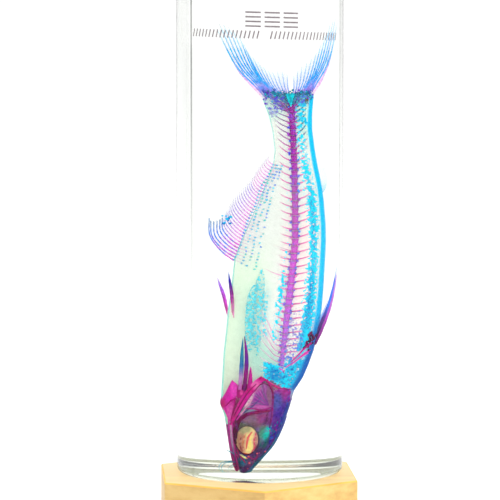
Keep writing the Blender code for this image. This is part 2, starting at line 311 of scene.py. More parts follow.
def glass_material(name, colour, smooth, smeared):
    made = Nodes(name)
    smear = made.noise(60.0, 4.0, 0.6, (1.0, 1.0, 0.35))
    made.set(Base_Color=colour, IOR=FLUID_INDEX, Transmission_Weight=1.0)
    made.set(Roughness=made.ramp(smear, [(0.35, smooth), (0.8, smeared)]))
    made.set(Specular_Tint=(0.4, 0.4, 0.4))
    lets_light_in(made, (0.985, 0.99, 0.985))
    return made.material


def wetted_material(name, colour):
    """The boundary of glass and fluid, which have nearly the same index, so it bends nothing."""
    made = Nodes(name)
    clear = made.new("ShaderNodeBsdfTransparent")
    made.tree.nodes.remove(made.shader)
    made.feed(clear.inputs["Color"], colour)
    made.feed(made.output.inputs[0], clear.outputs[0])
    return made.material


# ---------------------------------------------------------------- mesh helpers

class Shape:
    """Collects points and faces for one piece, with a number or two kept at each point."""

    def __init__(self):
        self.points = []
        self.faces = []
        self.slots = []
        self.values = {}

    def add(self, points, faces, slot=0, **values):
        start = len(self.points)
        self.points += [tuple(p) for p in points]
        self.faces += [[start + k for k in face] for face in faces]
        self.slots += [slot] * len(faces)
        for key, value in values.items():
            kept = self.values.setdefault(key, [0.0] * start)
            kept += list(value) if hasattr(value, "__len__") else [value] * len(points)
        for kept in self.values.values():
            kept += [0.0] * (len(self.points) - len(kept))

    def rings(self, rings, slot=0, **values):
        """Joins rings of equally many points with quads, and closes both ends."""
        count = len(rings[0])
        points = [p for ring in rings for p in ring]
        faces = []
        for low in range(0, len(points) - count, count):
            high = low + count
            for k in range(count):
                after = (k + 1) % count
                faces.append([low + k, low + after, high + after, high + k])
        faces.append(list(range(count))[::-1])
        faces.append([len(points) - count + k for k in range(count)])
        self.add(points, faces, slot, **values)

    def fish_part(self, name, materials, node, slot):
        """Builds a piece of the fish, which is drawn in the fish's own frame."""
        return self.build(name, materials, slot, node, matrix=FISH_FRAME)

    def build(self, name, materials, slot, node=None, body="jar", matrix=None):
        mesh = bpy.data.meshes.new(name)
        mesh.from_pydata(self.points, [], self.faces)
        mesh.validate()
        for made in materials:
            mesh.materials.append(made)
        if len(materials) > 1:
            mesh.polygons.foreach_set("material_index", self.slots)
        for key, kept in self.values.items():
            layer = mesh.attributes.new(key, "FLOAT", "POINT")
            layer.data.foreach_set("value", kept)
        bm = bmesh.new()
        bm.from_mesh(mesh)
        bmesh.ops.recalc_face_normals(bm, faces=bm.faces)
        bm.to_mesh(mesh)
        bm.free()
        if matrix is not None:
            mesh.transform(matrix)
        mesh.shade_smooth()
        mesh.set_sharp_from_angle(angle=math.radians(50))
        made = add_object(name, mesh)
        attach(made, body)
        if node:
            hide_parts(node)
        return made


def turned(profile, axis, segments, slots=None):
    """Turns a closed (radius, height) outline round a vertical axis. Radius 0 makes a pole."""
    shape = Shape()
    rings = []
    points = []
    for radius, height in profile:
        start = len(points)
        if radius == 0.0:
            points.append((axis[0], axis[1], height))
            rings.append([start] * segments)
            continue
        for k in range(segments):
            angle = 2.0 * math.pi * k / segments
            points.append((axis[0] + radius * math.cos(angle), axis[1] + radius * math.sin(angle), height))
        rings.append(list(range(start, start + segments)))
    shape.points = points
    for row in range(len(rings)):
        low, high = rings[row], rings[(row + 1) % len(rings)]
        if low[0] == low[1] and high[0] == high[1]:
            continue
        for k in range(segments):
            after = (k + 1) % segments
            face = list(dict.fromkeys([low[k], low[after], high[after], high[k]]))
            shape.faces.append(face)
            shape.slots.append(slots[row] if slots else 0)
    return shape


def arc(centre, radius, start, end, steps):
    points = []
    for k in range(steps + 1):
        angle = math.radians(start + (end - start) * k / steps)
        points.append((centre[0] + radius * math.cos(angle), centre[1] + radius * math.sin(angle)))
    return points


# ---------------------------------------------------------------- jar, fluid, label

JAR_SEGMENTS = 320


def make_jar():
    glass = glass_material("jar_glass", (0.985, 0.995, 0.985), 0.0, 0.012)
    foot_glass = glass_material("jar_foot_glass", (0.80, 0.86, 0.70), 0.22, 0.34)
    wetted = wetted_material("jar_wetted_wall", (0.995, 1.0, 0.995))
    low = JAR_LOW.z
    high = JAR_HIGH.z
    foot = 1.8 * MM
    rim = 0.95 * MM
    heel = 1.0 * MM
    profile = [(0.0, low)]
    slots = [0]
    bend = arc((JAR_RADIUS - foot, low + foot), foot, -90, 0, 10)
    profile += bend
    slots += [1] * (len(bend) - 1) + [0]
    profile += arc((JAR_RADIUS - rim, high - rim), rim, 0, 90, 8)
    slots += [0] * 9
    profile += arc((JAR_BORE + rim, high - rim), rim, 90, 180, 8)
    slots += [0] * 9
    profile.append((JAR_BORE, FLUID_HIGH.z))
    slots.append(2)
    inner = arc((JAR_BORE - heel, low + JAR_FLOOR + heel), heel, 0, -90, 8)
    profile += inner
    slots += [2] * len(inner)
    profile.append((0.0, low + JAR_FLOOR))
    slots.append(2)
    shape = turned(profile, JAR_AXIS, JAR_SEGMENTS, slots)
    shape.build("jar_glass_blown", [glass, foot_glass, wetted], node="jar_glass", slot="glass")


def make_foot_painted_shade():
    """Painted shade: a grey-green ring in the rounded corner inside the foot, denser behind the axis."""
    made = Nodes("foot_corner_painted_shade")
    cloud = made.noise(300.0, 4.0, 0.6)
    made.set(Base_Color=made.ramp(cloud, [(0.35, rgb(138, 150, 124)), (0.65, rgb(164, 174, 150))]))
    made.set(Roughness=made.ramp(cloud, [(0.3, 0.3), (0.7, 0.5)]))
    made.set(Alpha=made.math("MULTIPLY", made.attribute("cover"),
                             made.ramp(cloud, [(0.3, 0.7), (0.7, 1.0)]), True))
    made.bump(cloud, 0.1 * MM)
    shape = Shape()
    count = 160
    sides = 10
    around = np.linspace(0.0, 2 * math.pi, count, endpoint=False)
    rows = []
    radius = JAR_BORE - 0.6 * MM
    height = JAR_LOW.z + JAR_FLOOR + 0.75 * MM
    for k in range(sides):
        turn = 2 * math.pi * k / sides
        out = radius + 0.42 * MM * math.cos(turn)
        lift = height + 0.55 * MM * math.sin(turn)
        rows.append(np.stack([JAR_AXIS.x + out * np.cos(around), JAR_AXIS.y + out * np.sin(around),
                              np.full(count, lift)], axis=1))
    points = np.concatenate(rows)
    faces = []
    for k in range(sides):
        other = (k + 1) % sides
        for one in range(count):
            after = (one + 1) % count
            faces.append([k * count + one, k * count + after, other * count + after, other * count + one])
    # the painted shade is faint in front of the jar's axis and denser behind it
    behind = fade(points[:, 1] - JAR_AXIS.y, -0.012, 0.006)
    shape.add(points, faces, 0, cover=0.04 + 0.54 * behind)
    shape.build("jar_foot_corner", [made.material], slot="glass")


def make_fluid():
    surface = glass_material("fluid_surface", (0.98, 0.99, 0.97), 0.0, 0.004)
    inside = wetted_material("fluid_side", (1.0, 1.0, 0.998))
    radius = JAR_BORE - 0.05 * MM
    low = JAR_LOW.z + JAR_FLOOR + 0.05 * MM
    heel = 1.0 * MM
    level = FLUID_HIGH.z
    meniscus = 1.6 * MM
    profile = [(0.0, low)]
    bend = arc((radius - heel, low + heel), heel, -90, 0, 6)
    profile += bend
    slots = [1] * (len(bend) + 1)
    rise = 7
    for k in range(rise):
        share = k / (rise - 1)
        profile.append((radius - meniscus * share, level - 0.02 * MM - 0.8 * MM * (1 - (1 - share) ** 2.4)))
        slots.append(0)
    profile.append((0.0, level - 0.85 * MM))
    slots.append(0)
    shape = turned(profile, JAR_AXIS, JAR_SEGMENTS, slots)
    shape.build("fluid_column", [surface, inside], node="preserving_fluid", slot="fluid")


# ---------------------------------------------------------------- fish: tools

def rgb(red, green, blue):
    """An sRGB colour, 0 to 255, as the linear values that shaders take."""
    return np.array([(c / 255) ** 2.2 for c in (red, green, blue)])


def even(count):
    """Evenly spaced numbers from 0 to 1."""
    return np.linspace(0.0, 1.0, count)


def smooth_path(points, count):
    """A smooth curve through the points, sampled evenly along its length."""
    given = np.array(points, float)
    padded = np.vstack([2 * given[0] - given[1], given, 2 * given[-1] - given[-2]])
    fine = []
    for k in range(len(given) - 1):
        a, b, c, d = padded[k:k + 4]
        for step in range(12):
            t = step / 12
            curve = 2 * b + (c - a) * t + (2 * a - 5 * b + 4 * c - d) * t ** 2
            fine.append((curve + (3 * b - a - 3 * c + d) * t ** 3) / 2)
    fine.append(given[-1])
    fine = np.array(fine)
    steps = np.linalg.norm(np.diff(fine, axis=0), axis=1)
    length = np.concatenate([[0.0], np.cumsum(steps)])
    want = np.linspace(0.0, length[-1], count)
    return np.stack([np.interp(want, length, fine[:, k]) for k in range(fine.shape[1])], axis=1)


def at_y(points, y):
    """(x, s) points as (x, y, s) points; y is one number or one for each point."""
    flat = np.asarray(points, float)
    return np.stack([flat[:, 0], np.broadcast_to(y, len(flat)), flat[:, 1]], axis=1)


def gradient(t, stops):
    """Colours at t between (position, colour) stops, as an array with three columns."""
    places = [place for place, _ in stops]
    colours = np.array([colour for _, colour in stops])
    return np.stack([np.interp(t, places, colours[:, k]) for k in range(3)], axis=-1)


def paint(x, s, base, zones):
    """Lays soft-edged ovals of colour over a base: (x, s, width, height, turn, softness, colour)."""
    tint = np.array(base)[None, :] * np.ones((len(x), 1))
    for zone_x, zone_s, width, height, turn, softness, colour in zones:
        share = oval(x, s, zone_x, zone_s, width, height, turn, softness)[:, None]
        tint = tint * (1 - share) + np.array(colour)[None, :] * share
    return tint


def oval(x, s, centre_x, centre_s, width, height, turn=0.0, softness=0.3):
    """1 inside an oval and 0 outside it; its edge is softness wide, as a share of its radius."""
    cos, sin = math.cos(math.radians(turn)), math.sin(math.radians(turn))
    across = ((x - centre_x) * cos + (s - centre_s) * sin) / width
    up = ((s - centre_s) * cos - (x - centre_x) * sin) / height
    reach = np.sqrt(across ** 2 + up ** 2)
    share = np.clip((1 + softness / 2 - reach) / softness, 0.0, 1.0)
    return share * share * (3 - 2 * share)


def fade(value, low, high):
    share = np.clip((value - low) / (high - low), 0.0, 1.0)
    return share * share * (3 - 2 * share)


def ridge(value, middle, width):
    """1 where value is at middle, and soon 0 on either side of it."""
    return np.exp(-((value - middle) / width) ** 2)


def tint_values(tint):
    """A colour, or a column of colours, as the three numbers kept at each point."""
    return dict(zip(TINT_KEYS, np.asarray(tint, float).T))


def tube(shape, path, radius, sides=8, flat=1.0, slot=0, tint=None, **values):
    """A round or flattened bar along a path; numbers and colours may be given for each point."""
    path = np.asarray(path, float)
    count = len(path)
    radii = np.broadcast_to(np.asarray(radius, float), (count,))
    along = np.gradient(path, axis=0)
    rings = []
    for point, forward, size in zip(path, along, radii):
        side = np.cross(forward, (0.0, 1.0, 0.0))
        side = side / (np.linalg.norm(side) + 1e-9)
        normal = np.cross(side, forward)
        normal = normal / (np.linalg.norm(normal) + 1e-9)
        ring = []
        for k in range(sides):
            angle = 2 * math.pi * k / sides
            ring.append(point + size * (math.cos(angle) * side + flat * math.sin(angle) * normal))
        rings.append(ring)
    spread = {}
    for key, value in values.items():
        spread[key] = np.repeat(np.broadcast_to(np.asarray(value, float), (count,)), sides)
    if tint is not None:
        spread.update(tint_values(np.repeat(np.broadcast_to(tint, (count, 3)), sides, axis=0)))
    shape.rings(rings, slot, **spread)


def bead(shape, centre, size, tint, **values):
    """A small egg with half axes (x, y, s)."""
    rings = []
    for row in range(1, 6):
        lift = math.pi * row / 6
        ring = []
        for k in range(8):
            angle = 2 * math.pi * k / 8
            ring.append((
                centre[0] + size[0] * math.sin(lift) * math.cos(angle),
                centre[1] + size[1] * math.sin(lift) * math.sin(angle),
                centre[2] - size[2] * math.cos(lift),
            ))
        rings.append(ring)
    shape.rings(rings, **tint_values(tint), **values)


def plate_faces(rows, columns):
    """The faces of a plate: a grid of points for each of its two sides, one after the other."""
    size = rows * columns
    faces = []
    for row in range(rows - 1):
        for k in range(columns - 1):
            corner = row * columns + k
            quad = [corner, corner + 1, corner + columns + 1, corner + columns]
            faces.append(quad)
            faces.append([size + one for one in quad[::-1]])
    border = [k for k in range(columns)]
    border += [row * columns + columns - 1 for row in range(1, rows)]
    border += [(rows - 1) * columns + k for k in range(columns - 2, -1, -1)]
    border += [row * columns for row in range(rows - 2, 0, -1)]
    for k, one in enumerate(border):
        after = border[(k + 1) % len(border)]
        faces.append([after, one, size + one, size + after])
    return faces


def sheet(shape, left, right, y, columns, thick, colour, **values):
    """A thin curved plate between two edges of equally many (x, s) points.

    y gives the height of the plate's near face from (x, s) arrays; colour does the same for tint.
    """
    left = np.asarray(left, float)
    right = np.asarray(right, float)
    share = even(columns)
    grid = left[:, None, :] * (1 - share[None, :, None]) + right[:, None, :] * share[None, :, None]
    x = grid[..., 0].ravel()
    s = grid[..., 1].ravel()
    face = y(x, s)
    inward = -np.sign(face) * thick
    points = [*zip(x, face, s), *zip(x, face + inward, s)]
    spread = {}
    for key, value in values.items():
        spread[key] = np.tile(value(x, s), 2) if callable(value) else value
    spread.update(tint_values(np.tile(colour(x, s), (2, 1))))
    shape.add(points, plate_faces(len(left), columns), **spread)


def level(y):
    """The height of a flat sheet."""
    return lambda x, s: np.full(len(x), y)


def head_plate(shape, left, right, side, lift, columns, thick, base, zones, cover):
    """A thin plate over the skin of the head, painted in zones; lift is on the skin and off it."""
    sheet(shape, left, right, lambda x, s: side * (skin(x, s, lift[0]) + lift[1]), columns, thick,
          lambda x, s: paint(x, s, base, zones), cover=cover)


# Outline of the whole fish without its fins: s, belly side, back side, half thickness (mm)
OUTLINE = np.array((
    (1.2, -5.5, -3.4, 0.7), (2.6, -6.5, -2.5, 1.7), (5.0, -7.1, -0.7, 3.0), (7.7, -7.6, 1.1, 3.8),
    (11.2, -8.0, 3.4, 4.6), (14.5, -8.4, 4.9, 5.2), (18.5, -9.0, 6.3, 5.8), (22.0, -9.6, 7.2, 6.2),
    (26.0, -10.4, 8.2, 6.5), (31.0, -10.4, 9.2, 6.7), (35.6, -10.1, 11.6, 6.9), (40.0, -9.9, 13.1, 7.1),
    (45.2, -9.6, 14.6, 7.1), (52.3, -8.9, 16.0, 6.9), (60.0, -8.3, 16.9, 6.6), (66.6, -7.5, 17.3, 6.2),
    (78.3, -6.5, 17.7, 5.6), (84.4, -4.8, 17.8, 5.2), (90.0, -3.0, 17.6, 4.8), (98.8, -0.3, 16.8, 4.1),
    (104.0, 1.2, 16.1, 3.7), (111.5, 3.3, 14.7, 3.2), (116.8, 3.7, 13.9, 2.8), (123.8, 3.1, 13.1, 2.4),
    (129.0, 2.2, 13.0, 2.1), (134.0, 0.9, 13.2, 1.3), (138.0, 0.2, 13.5, 0.25),
))


def outline_at(s, outline=OUTLINE):
    return [np.interp(s, outline[:, 0], outline[:, k]) for k in (1, 2, 3)]


def skin(x, s, lift=0.0):
    """How far the fish's surface is from its middle plane at (x, s)."""
    belly, back, half = outline_at(s)
    middle = (belly + back) / 2
    reach = (back - belly) / 2
    share = np.clip(1 - ((x - middle) / reach) ** 2, 0.0, 1.0)
    return half * np.sqrt(share) + lift


BACKBONE = np.array((
    (5.6, 33.0), (5.7, 38.0), (6.1, 45.0), (7.0, 56.0), (8.2, 70.0), (9.1, 84.0), (8.95, 99.0),
    (8.6, 113.0), (8.1, 125.0), (7.8, 132.0), (7.7, 133.5),
))


def backbone_at(s):
    return np.interp(s, BACKBONE[:, 1], BACKBONE[:, 0])


MAGENTA = rgb(188, 22, 150)
HOT_PINK = rgb(226, 70, 186)
PINK = rgb(236, 112, 196)
PALE_PINK = rgb(246, 196, 226)
LILAC = rgb(196, 140, 234)
VIOLET = rgb(132, 84, 206)
BLUE = rgb(46, 142, 250)
SKY = rgb(110, 200, 252)
CYAN = rgb(0, 205, 240)
TEAL = rgb(0, 150, 176)
DEEP_TEAL = rgb(10, 96, 130)
AQUA = rgb(40, 214, 214)
PLUM = rgb(104, 36, 104)

STAIN_DEPTH = 1.36                  # above 1, stains are deeper than their named colours
TISSUE_BUMP = 0.12 * MM
TISSUE_SHEEN = 0.02                 # low, as the fluid round the fish has nearly its index


def deepened(made, colour):
    deeper = made.new("ShaderNodeGamma")
    deeper.inputs["Gamma"].default_value = STAIN_DEPTH
    made.feed(deeper.inputs["Color"], colour)
    return deeper.outputs[0]


def tint_of(made):
    join = made.new("ShaderNodeCombineColor")
    for key, socket in zip(TINT_KEYS, join.inputs):
        made.feed(socket, made.attribute(key))
    return deepened(made, join.outputs[0])


def stained(name, grain, low, high, cover=None, second=None, second_share=0.0):
    """A stained, wet tissue: the piece's own tint, darker and lighter in a fine grain."""
    made = Nodes(name)
    fine = made.noise(grain, 5.0, 0.62)
    colour = made.mix(1.0, tint_of(made), made.remap(fine, 0.3, 0.7, low, high), "MULTIPLY")
    if second is not None:
        patches = made.noise(grain * 0.55, 3.0, 0.5, shift=3.1)
        share = made.ramp(patches, [(0.52, 0.0), (0.64, second_share)])
        colour = made.mix(share, colour, second)
    made.set(Base_Color=colour, Roughness=made.ramp(fine, [(0.3, 0.3), (0.7, 0.54)]))
    made.set(Specular_IOR_Level=TISSUE_SHEEN)
    if cover is not None:
        patchy = made.remap(fine, 0.3, 0.7, cover, 1.0)
        made.set(Alpha=made.math("MULTIPLY", patchy, made.attribute("cover"), True))
    made.bump(fine, TISSUE_BUMP)
    return made.material


# ---------------------------------------------------------------- fish: flesh, gut, backbone

FLESH_ROWS = 190
FLESH_COLUMNS = 44
FLESH_FLAT_COLUMNS = 16             # across the flat inner side of each half

FLESH_ZONES = (
    # stain, amount, x, s, width, height, turn, softness
    ("blobs", 0.06, 11.2, 131.4, 2.5, 5.4, 0.0, 0.6),
    ("blobs", 0.26, 4.0, 133.6, 4.2, 3.4, 0.0, 0.6),
    ("blobs", 0.64, 9.4, 36.6, 2.5, 6.6, -24.0, 0.6),
    ("blobs", 0.50, 8.2, 41.0, 1.6, 2.6, 0.0, 0.8),
    ("blobs", 0.42, 2.0, 41.0, 1.4, 0.8, 0.0, 0.8),
    ("blobs", 0.66, 3.8, 37.6, 2.9, 3.8, 30.0, 0.8),
    ("blobs", 0.14, 12.2, 55.0, 2.8, 14.0, -8.0, 0.9),
    ("deep", 0.38, 4.4, 37.0, 1.9, 2.8, 30.0, 0.7),
    ("deep", 0.12, 9.4, 36.6, 2.2, 6.0, -24.0, 0.6),
    ("deep", 0.12, 11.0, 131.0, 2.6, 6.0, 0.0, 0.6),
    ("deep", 0.28, 4.0, 134.0, 4.0, 3.4, 0.0, 0.6),
    ("violet", 0.34, 9.0, 49.0, 3.4, 11.0, -6.0, 0.9),
    ("violet", 0.42, 3.0, 132.6, 3.6, 4.4, 0.0, 0.8),
    ("violet", 0.32, 10.8, 135.0, 3.0, 2.2, 0.0, 0.7),
    ("warm", 0.80, 11.6, 78.0, 1.7, 24.0, -4.0, 0.8),
    ("warm", 0.50, 6.6, 76.0, 1.2, 22.0, -4.0, 0.8),
    ("teal", 0.75, 1.6, 41.0, 4.4, 8.0, 20.0, 0.8),
    ("teal", 0.50, 3.2, 132.4, 3.6, 4.8, 0.0, 0.9),
    ("teal", 0.45, 10.8, 129.0, 2.8, 9.0, 0.0, 0.9),
)


def flesh_stains(x, s):
    """Where the flesh holds each stain, from 0 to 1, at points (x, s)."""
    belly, back, _ = outline_at(s)
    from_back = back - x
    from_belly = x - belly
    from_spine = x - backbone_at(np.clip(s, 33.0, 133.0))
    rim = 1 - fade(from_back, 0.75, 1.15)
    rim = np.maximum(rim, (1 - fade(from_back, 1.2, 2.1)) * fade(s, 62.0, 50.0) * 0.9)
    blobs = ridge(from_back, 2.7, 1.7) * (0.34 + 0.30 * fade(s, 118.0, 98.0)) * fade(s, 40.0, 47.0)
    blobs += 0.10 * ridge(from_spine, 3.2, 1.3) * fade(s, 114.0, 124.0)
    blobs += 0.42 * ridge(from_spine, -2.1, 1.2) * fade(s, 44.0, 52.0) * fade(s, 82.0, 66.0)
    blobs += 0.22 * ridge(from_spine, -1.5, 0.5) * fade(s, 60.0, 66.0) * fade(s, 120.0, 96.0)
    deep = 0.30 * ridge(from_back, 3.1, 0.9) * fade(s, 84.0, 66.0) * fade(s, 48.0, 56.0)
    deep += 0.55 * fade(s, 46.0, 38.0) * (1 - fade(from_back, 0.6, 2.2))
    stains = {
        "rim": rim,
        "blobs": blobs,
        "deep": deep,
        "violet": 0.42 * fade(s, 44.0, 37.0) * (1 - fade(from_back, 0.5, 1.6)),
        "green": fade(from_belly, 12.5, 6.0) * fade(s, 88.0, 70.0),
        "warm": np.zeros(len(x)),
        "teal": np.zeros(len(x)),
        "edge": 1 - fade(from_belly, 0.14, 0.42),
        "dark": 0.8 * fade(s, 60.0, 49.0) * (1 - fade(from_back, 0.4, 1.9)),
    }
    for key, amount, *zone in FLESH_ZONES:
        stains[key] += amount * oval(x, s, *zone)
    beside = 1 - 0.9 * ridge(from_spine, 0.0, 1.05) * fade(s, 116.0, 122.0)
    for key in ("blobs", "deep", "violet"):
        stains[key] *= beside
    return stains


def washed(made, colour, green, warm, teal):
    """The flesh's own colour with its three faint washes over it."""
    for key, wash in (("green", green), ("warm", warm), ("teal", teal)):
        colour = made.mix(made.attribute(key), colour, wash)
    return colour


def flesh_material():
    made = Nodes("cleared_flesh")
    speck = made.noise(1180.0, 2.0, 0.45)
    fine = made.noise(2300.0, 3.0, 0.6, shift=1.7)
    both = made.math("ADD", made.math("MULTIPLY", speck, 0.66), made.math("MULTIPLY", fine, 0.34))

    def blotch(key, amount):
        grown = made.math("ADD", both, made.math("MULTIPLY", made.attribute(key), 0.42))
        share = made.remap(grown, 0.62, 0.70, 0.0, amount, "SMOOTHSTEP")
        return made.math("MULTIPLY", share, made.math("MULTIPLY", made.attribute(key), 6.0, True))

    colour = washed(made, rgb(234, 240, 230), rgb(218, 238, 208), rgb(246, 224, 216), rgb(178, 226, 206))
    blobs = blotch("blobs", 1.0)
    cyan = made.ramp(both, [(0.38, rgb(0, 120, 184)), (0.47, rgb(0, 178, 214)),
                            (0.55, rgb(0, 214, 236))])
    colour = made.mix(blobs, colour, cyan)
    deep = blotch("deep", 0.9)
    colour = made.mix(deep, colour, rgb(0, 128, 196))
    violet = blotch("violet", 0.8)
    colour = made.mix(violet, colour, rgb(120, 92, 206))
    rim = made.attribute("rim")
    band = made.ramp(fine, [(0.36, rgb(0, 178, 224)), (0.6, rgb(0, 208, 242))])
    band = made.mix(made.attribute("dark"), band, rgb(56, 84, 176))
    colour = made.mix(rim, colour, band)
    edge = made.attribute("edge")
    colour = made.mix(edge, colour, rgb(150, 224, 216))
    made.set(Base_Color=deepened(made, colour), Roughness=made.ramp(fine, [(0.3, 0.25), (0.7, 0.5)]))
    made.set(Specular_IOR_Level=0.0)
    alpha = made.math("MULTIPLY", made.attribute("haze"), made.ramp(speck, [(0.3, 0.85), (0.7, 1.1)]))
    for layer, share in ((blobs, 0.98), (deep, 0.96), (violet, 0.75), (rim, 1.0), (edge, 0.7)):
        alpha = made.math("MAXIMUM", alpha, made.math("MULTIPLY", layer, share))
    made.set(Alpha=alpha)
    made.bump(both, 0.15 * MM)
    return made.material


def veil_material():
    """The middle of the flesh: nearly clear, tinted as the flesh over it is."""
    made = Nodes("flesh_middle")
    cloud = made.noise(500.0, 3.0, 0.5)
    colour = washed(made, rgb(212, 217, 211), rgb(207, 226, 204), rgb(236, 214, 210), rgb(160, 218, 200))
    made.set(Base_Color=colour, Roughness=made.ramp(cloud, [(0.3, 0.3), (0.7, 0.5)]))
    made.set(Specular_IOR_Level=0.05)
    veil = made.math("ADD", made.math("MULTIPLY", made.attribute("green"), 0.2), 0.62)
    veil = made.math("ADD", veil, made.math("MULTIPLY", made.attribute("teal"), 0.4))
    veil = made.math("MULTIPLY", veil, made.ramp(cloud, [(0.3, 0.82), (0.7, 1.0)]))
    made.set(Alpha=made.math("MULTIPLY", veil, made.attribute("clearing"), True))
    return made.material


def make_flesh():
    materials = [flesh_material(), veil_material()]
    ring_size = FLESH_COLUMNS + FLESH_FLAT_COLUMNS
    for name, side in SIDES:
        shape = Shape()
        rings = []
        for s in np.linspace(19.0, 138.0, FLESH_ROWS):
            belly, back, half = outline_at(s)
            angles = np.linspace(0.0, math.pi, FLESH_COLUMNS)
            x = (belly + back) / 2 + (back - belly) / 2 * np.cos(angles)
            y = side * (0.12 + half * np.sin(angles))
            flat = np.linspace(belly, back, FLESH_FLAT_COLUMNS + 2)[1:-1]
            x = np.concatenate([x, flat])
            y = np.concatenate([y, np.full(FLESH_FLAT_COLUMNS, side * 0.12)])
            rings.append(np.stack([x, y, np.full(ring_size, s)], axis=1))
        x, _, s = np.concatenate(rings).T
        stains = flesh_stains(x, s)
        near_head = fade(s, 33.0, 27.0) * fade(x, -8.6, -7.6)
        ending = fade(s, 137.8, 135.6)
        for key in ("blobs", "deep", "violet", "rim", "edge", "dark"):
            stains[key] = stains[key] * (1 - near_head) * ending
        for key in ("warm", "teal"):
            stains[key] = stains[key] * (1 - near_head)
        column = ridge(x, backbone_at(s), 1.3) * fade(s, 98.0, 116.0)
        thinned = (1 - 0.8 * near_head) * (1 - 0.8 * column)
        stains["haze"] = (0.11 + 0.06 * stains["green"]) * ending * thinned
        stains["clearing"] = (1 - near_head) * ending
        shape.rings(rings, 0, **stains)
        for k in range((FLESH_ROWS - 1) * ring_size):
            if k % ring_size >= FLESH_COLUMNS - 1:
                shape.slots[k] = 1
        shape.slots[-2:] = [1, 1]
        made = shape.fish_part("flesh_cleared_" + name, materials, "flesh_" + name, "cleared_flesh")
        # cleared flesh scatters light on to the bones inside it and throws no shadow on them
        made.visible_shadow = False
        made.visible_diffuse = False


def make_gut():
    """Loops of gut, stained in spots."""
    made = Nodes("gut_spotted")
    blot = made.noise(1380.0, 2.0, 0.5)
    fine = made.noise(2600.0, 3.0, 0.6, shift=2.0)
    mask = made.ramp(made.math("ADD", blot, made.math("MULTIPLY", made.attribute("cover"), 0.1)),
                     [(0.592, 0.0), (0.628, 1.0)])
    cyan = made.ramp(fine, [(0.35, rgb(0, 170, 204)), (0.62, rgb(0, 216, 232))])
    made.set(Base_Color=cyan, Roughness=0.4, Specular_IOR_Level=TISSUE_SHEEN)
    made.set(Alpha=made.math("MAXIMUM", made.math("MULTIPLY", made.attribute("cover"), 0.02), mask, True))
    made.bump(blot, 0.12 * MM)
    shape = Shape()
    loops = (
        ((-2.7, 45.2), (-2.6, 50.0), (-2.7, 56.0), (-2.2, 63.0), (-1.4, 69.0)),
        ((-0.6, 43.6), (-0.9, 49.0), (-0.8, 56.0), (-0.2, 62.0), (0.2, 70.5), (0.6, 74.6)),
        ((1.2, 46.2), (1.2, 51.0), (1.2, 57.0), (1.6, 63.0), (2.1, 70.4)),
    )
    for row, loop in enumerate(loops):
        path = smooth_path(loop, 60)
        t = even(60)
        ends = np.clip(np.minimum(t, 1 - t) / 0.2, 0.0, 1.0)
        radius = (1.25 + 0.06 * np.sin(np.linspace(row, 31, 60))) * np.sqrt(0.05 + 0.95 * ends)
        tube(shape, at_y(path, -1.3 + 1.1 * row), radius, 16, 0.9, cover=0.2 + 0.8 * ends)
    shape.fish_part("gut_loops", [made.material], "gut", "stained_cartilage")


def vertebra_places():
    places = []
    s = 33.4
    while s < 132.0:
        places.append(s)
        s += np.interp(s, [33, 45, 60, 110, 120, 133], [2.1, 2.3, 2.65, 2.72, 2.2, 1.5])
    return places


def make_backbone():
    """Hourglass vertebrae, small knobs at their joints, and the bony spines and ribs."""
    bone = stained("stained_bone", 1500.0, 0.74, 1.25, second=rgb(110, 70, 226), second_share=0.5)
    thin = stained("stained_spine", 1300.0, 0.8, 1.15, cover=0.8)
    shape = Shape()
    chance = random.Random(11)
    places = vertebra_places()
    column_tint = [
        (33.0, rgb(190, 116, 210)), (42.0, rgb(188, 86, 206)), (58.0, rgb(190, 70, 200)),
        (72.0, rgb(196, 44, 196)), (88.0, rgb(184, 18, 178)), (104.0, rgb(170, 6, 168)),
        (133.0, rgb(160, 0, 158)),
    ]
    for k, s in enumerate(places):
        pitch = (places[k + 1] if k + 1 < len(places) else s + 1.4) - s
        size = np.interp(s, [33, 45, 60, 84, 110, 124, 133], [0.55, 0.85, 1.15, 1.12, 1.0, 0.98, 0.92])
        steps = even(9)
        waist = 0.76 + 0.24 * np.abs(2 * steps - 1) ** 1.5
        waist[0] = waist[-1] = 0.86
        heights = s + pitch * (0.03 + 0.94 * steps)
        path = np.stack([backbone_at(heights), np.zeros(9), heights], axis=1)
        base = gradient(np.array([s]), column_tint)[0]
        ends = np.abs(2 * steps - 1)[:, None] ** 3
        tint = base[None, :] * (1.12 - 0.3 * ends)
        tube(shape, path, size * waist, 14, tint=tint, cover=1.0)
        joint = places[k] - 0.05
        for side in (-1.0, 1.0):
            for y in (-0.75, 0.75, -0.5):
                dark = chance.choice((rgb(140, 70, 220), rgb(100, 86, 220), rgb(60, 140, 230),
                                      rgb(176, 30, 200), PINK))
                place = (backbone_at(joint) + side * size * chance.uniform(0.8, 1.2), y * size,
                         joint + chance.uniform(-0.3, 1.0))
                reach = chance.uniform(0.16, 0.34)
                bead(shape, place, (reach, reach, reach * 1.4), dark, cover=1.0)
        for side in (-1.0, 1.0):
            add_spine(shape, s, side, size, chance)
    add_ribs(shape, chance)
    shape.fish_part("backbone_column", [bone, thin], "backbone", "stained_bone")


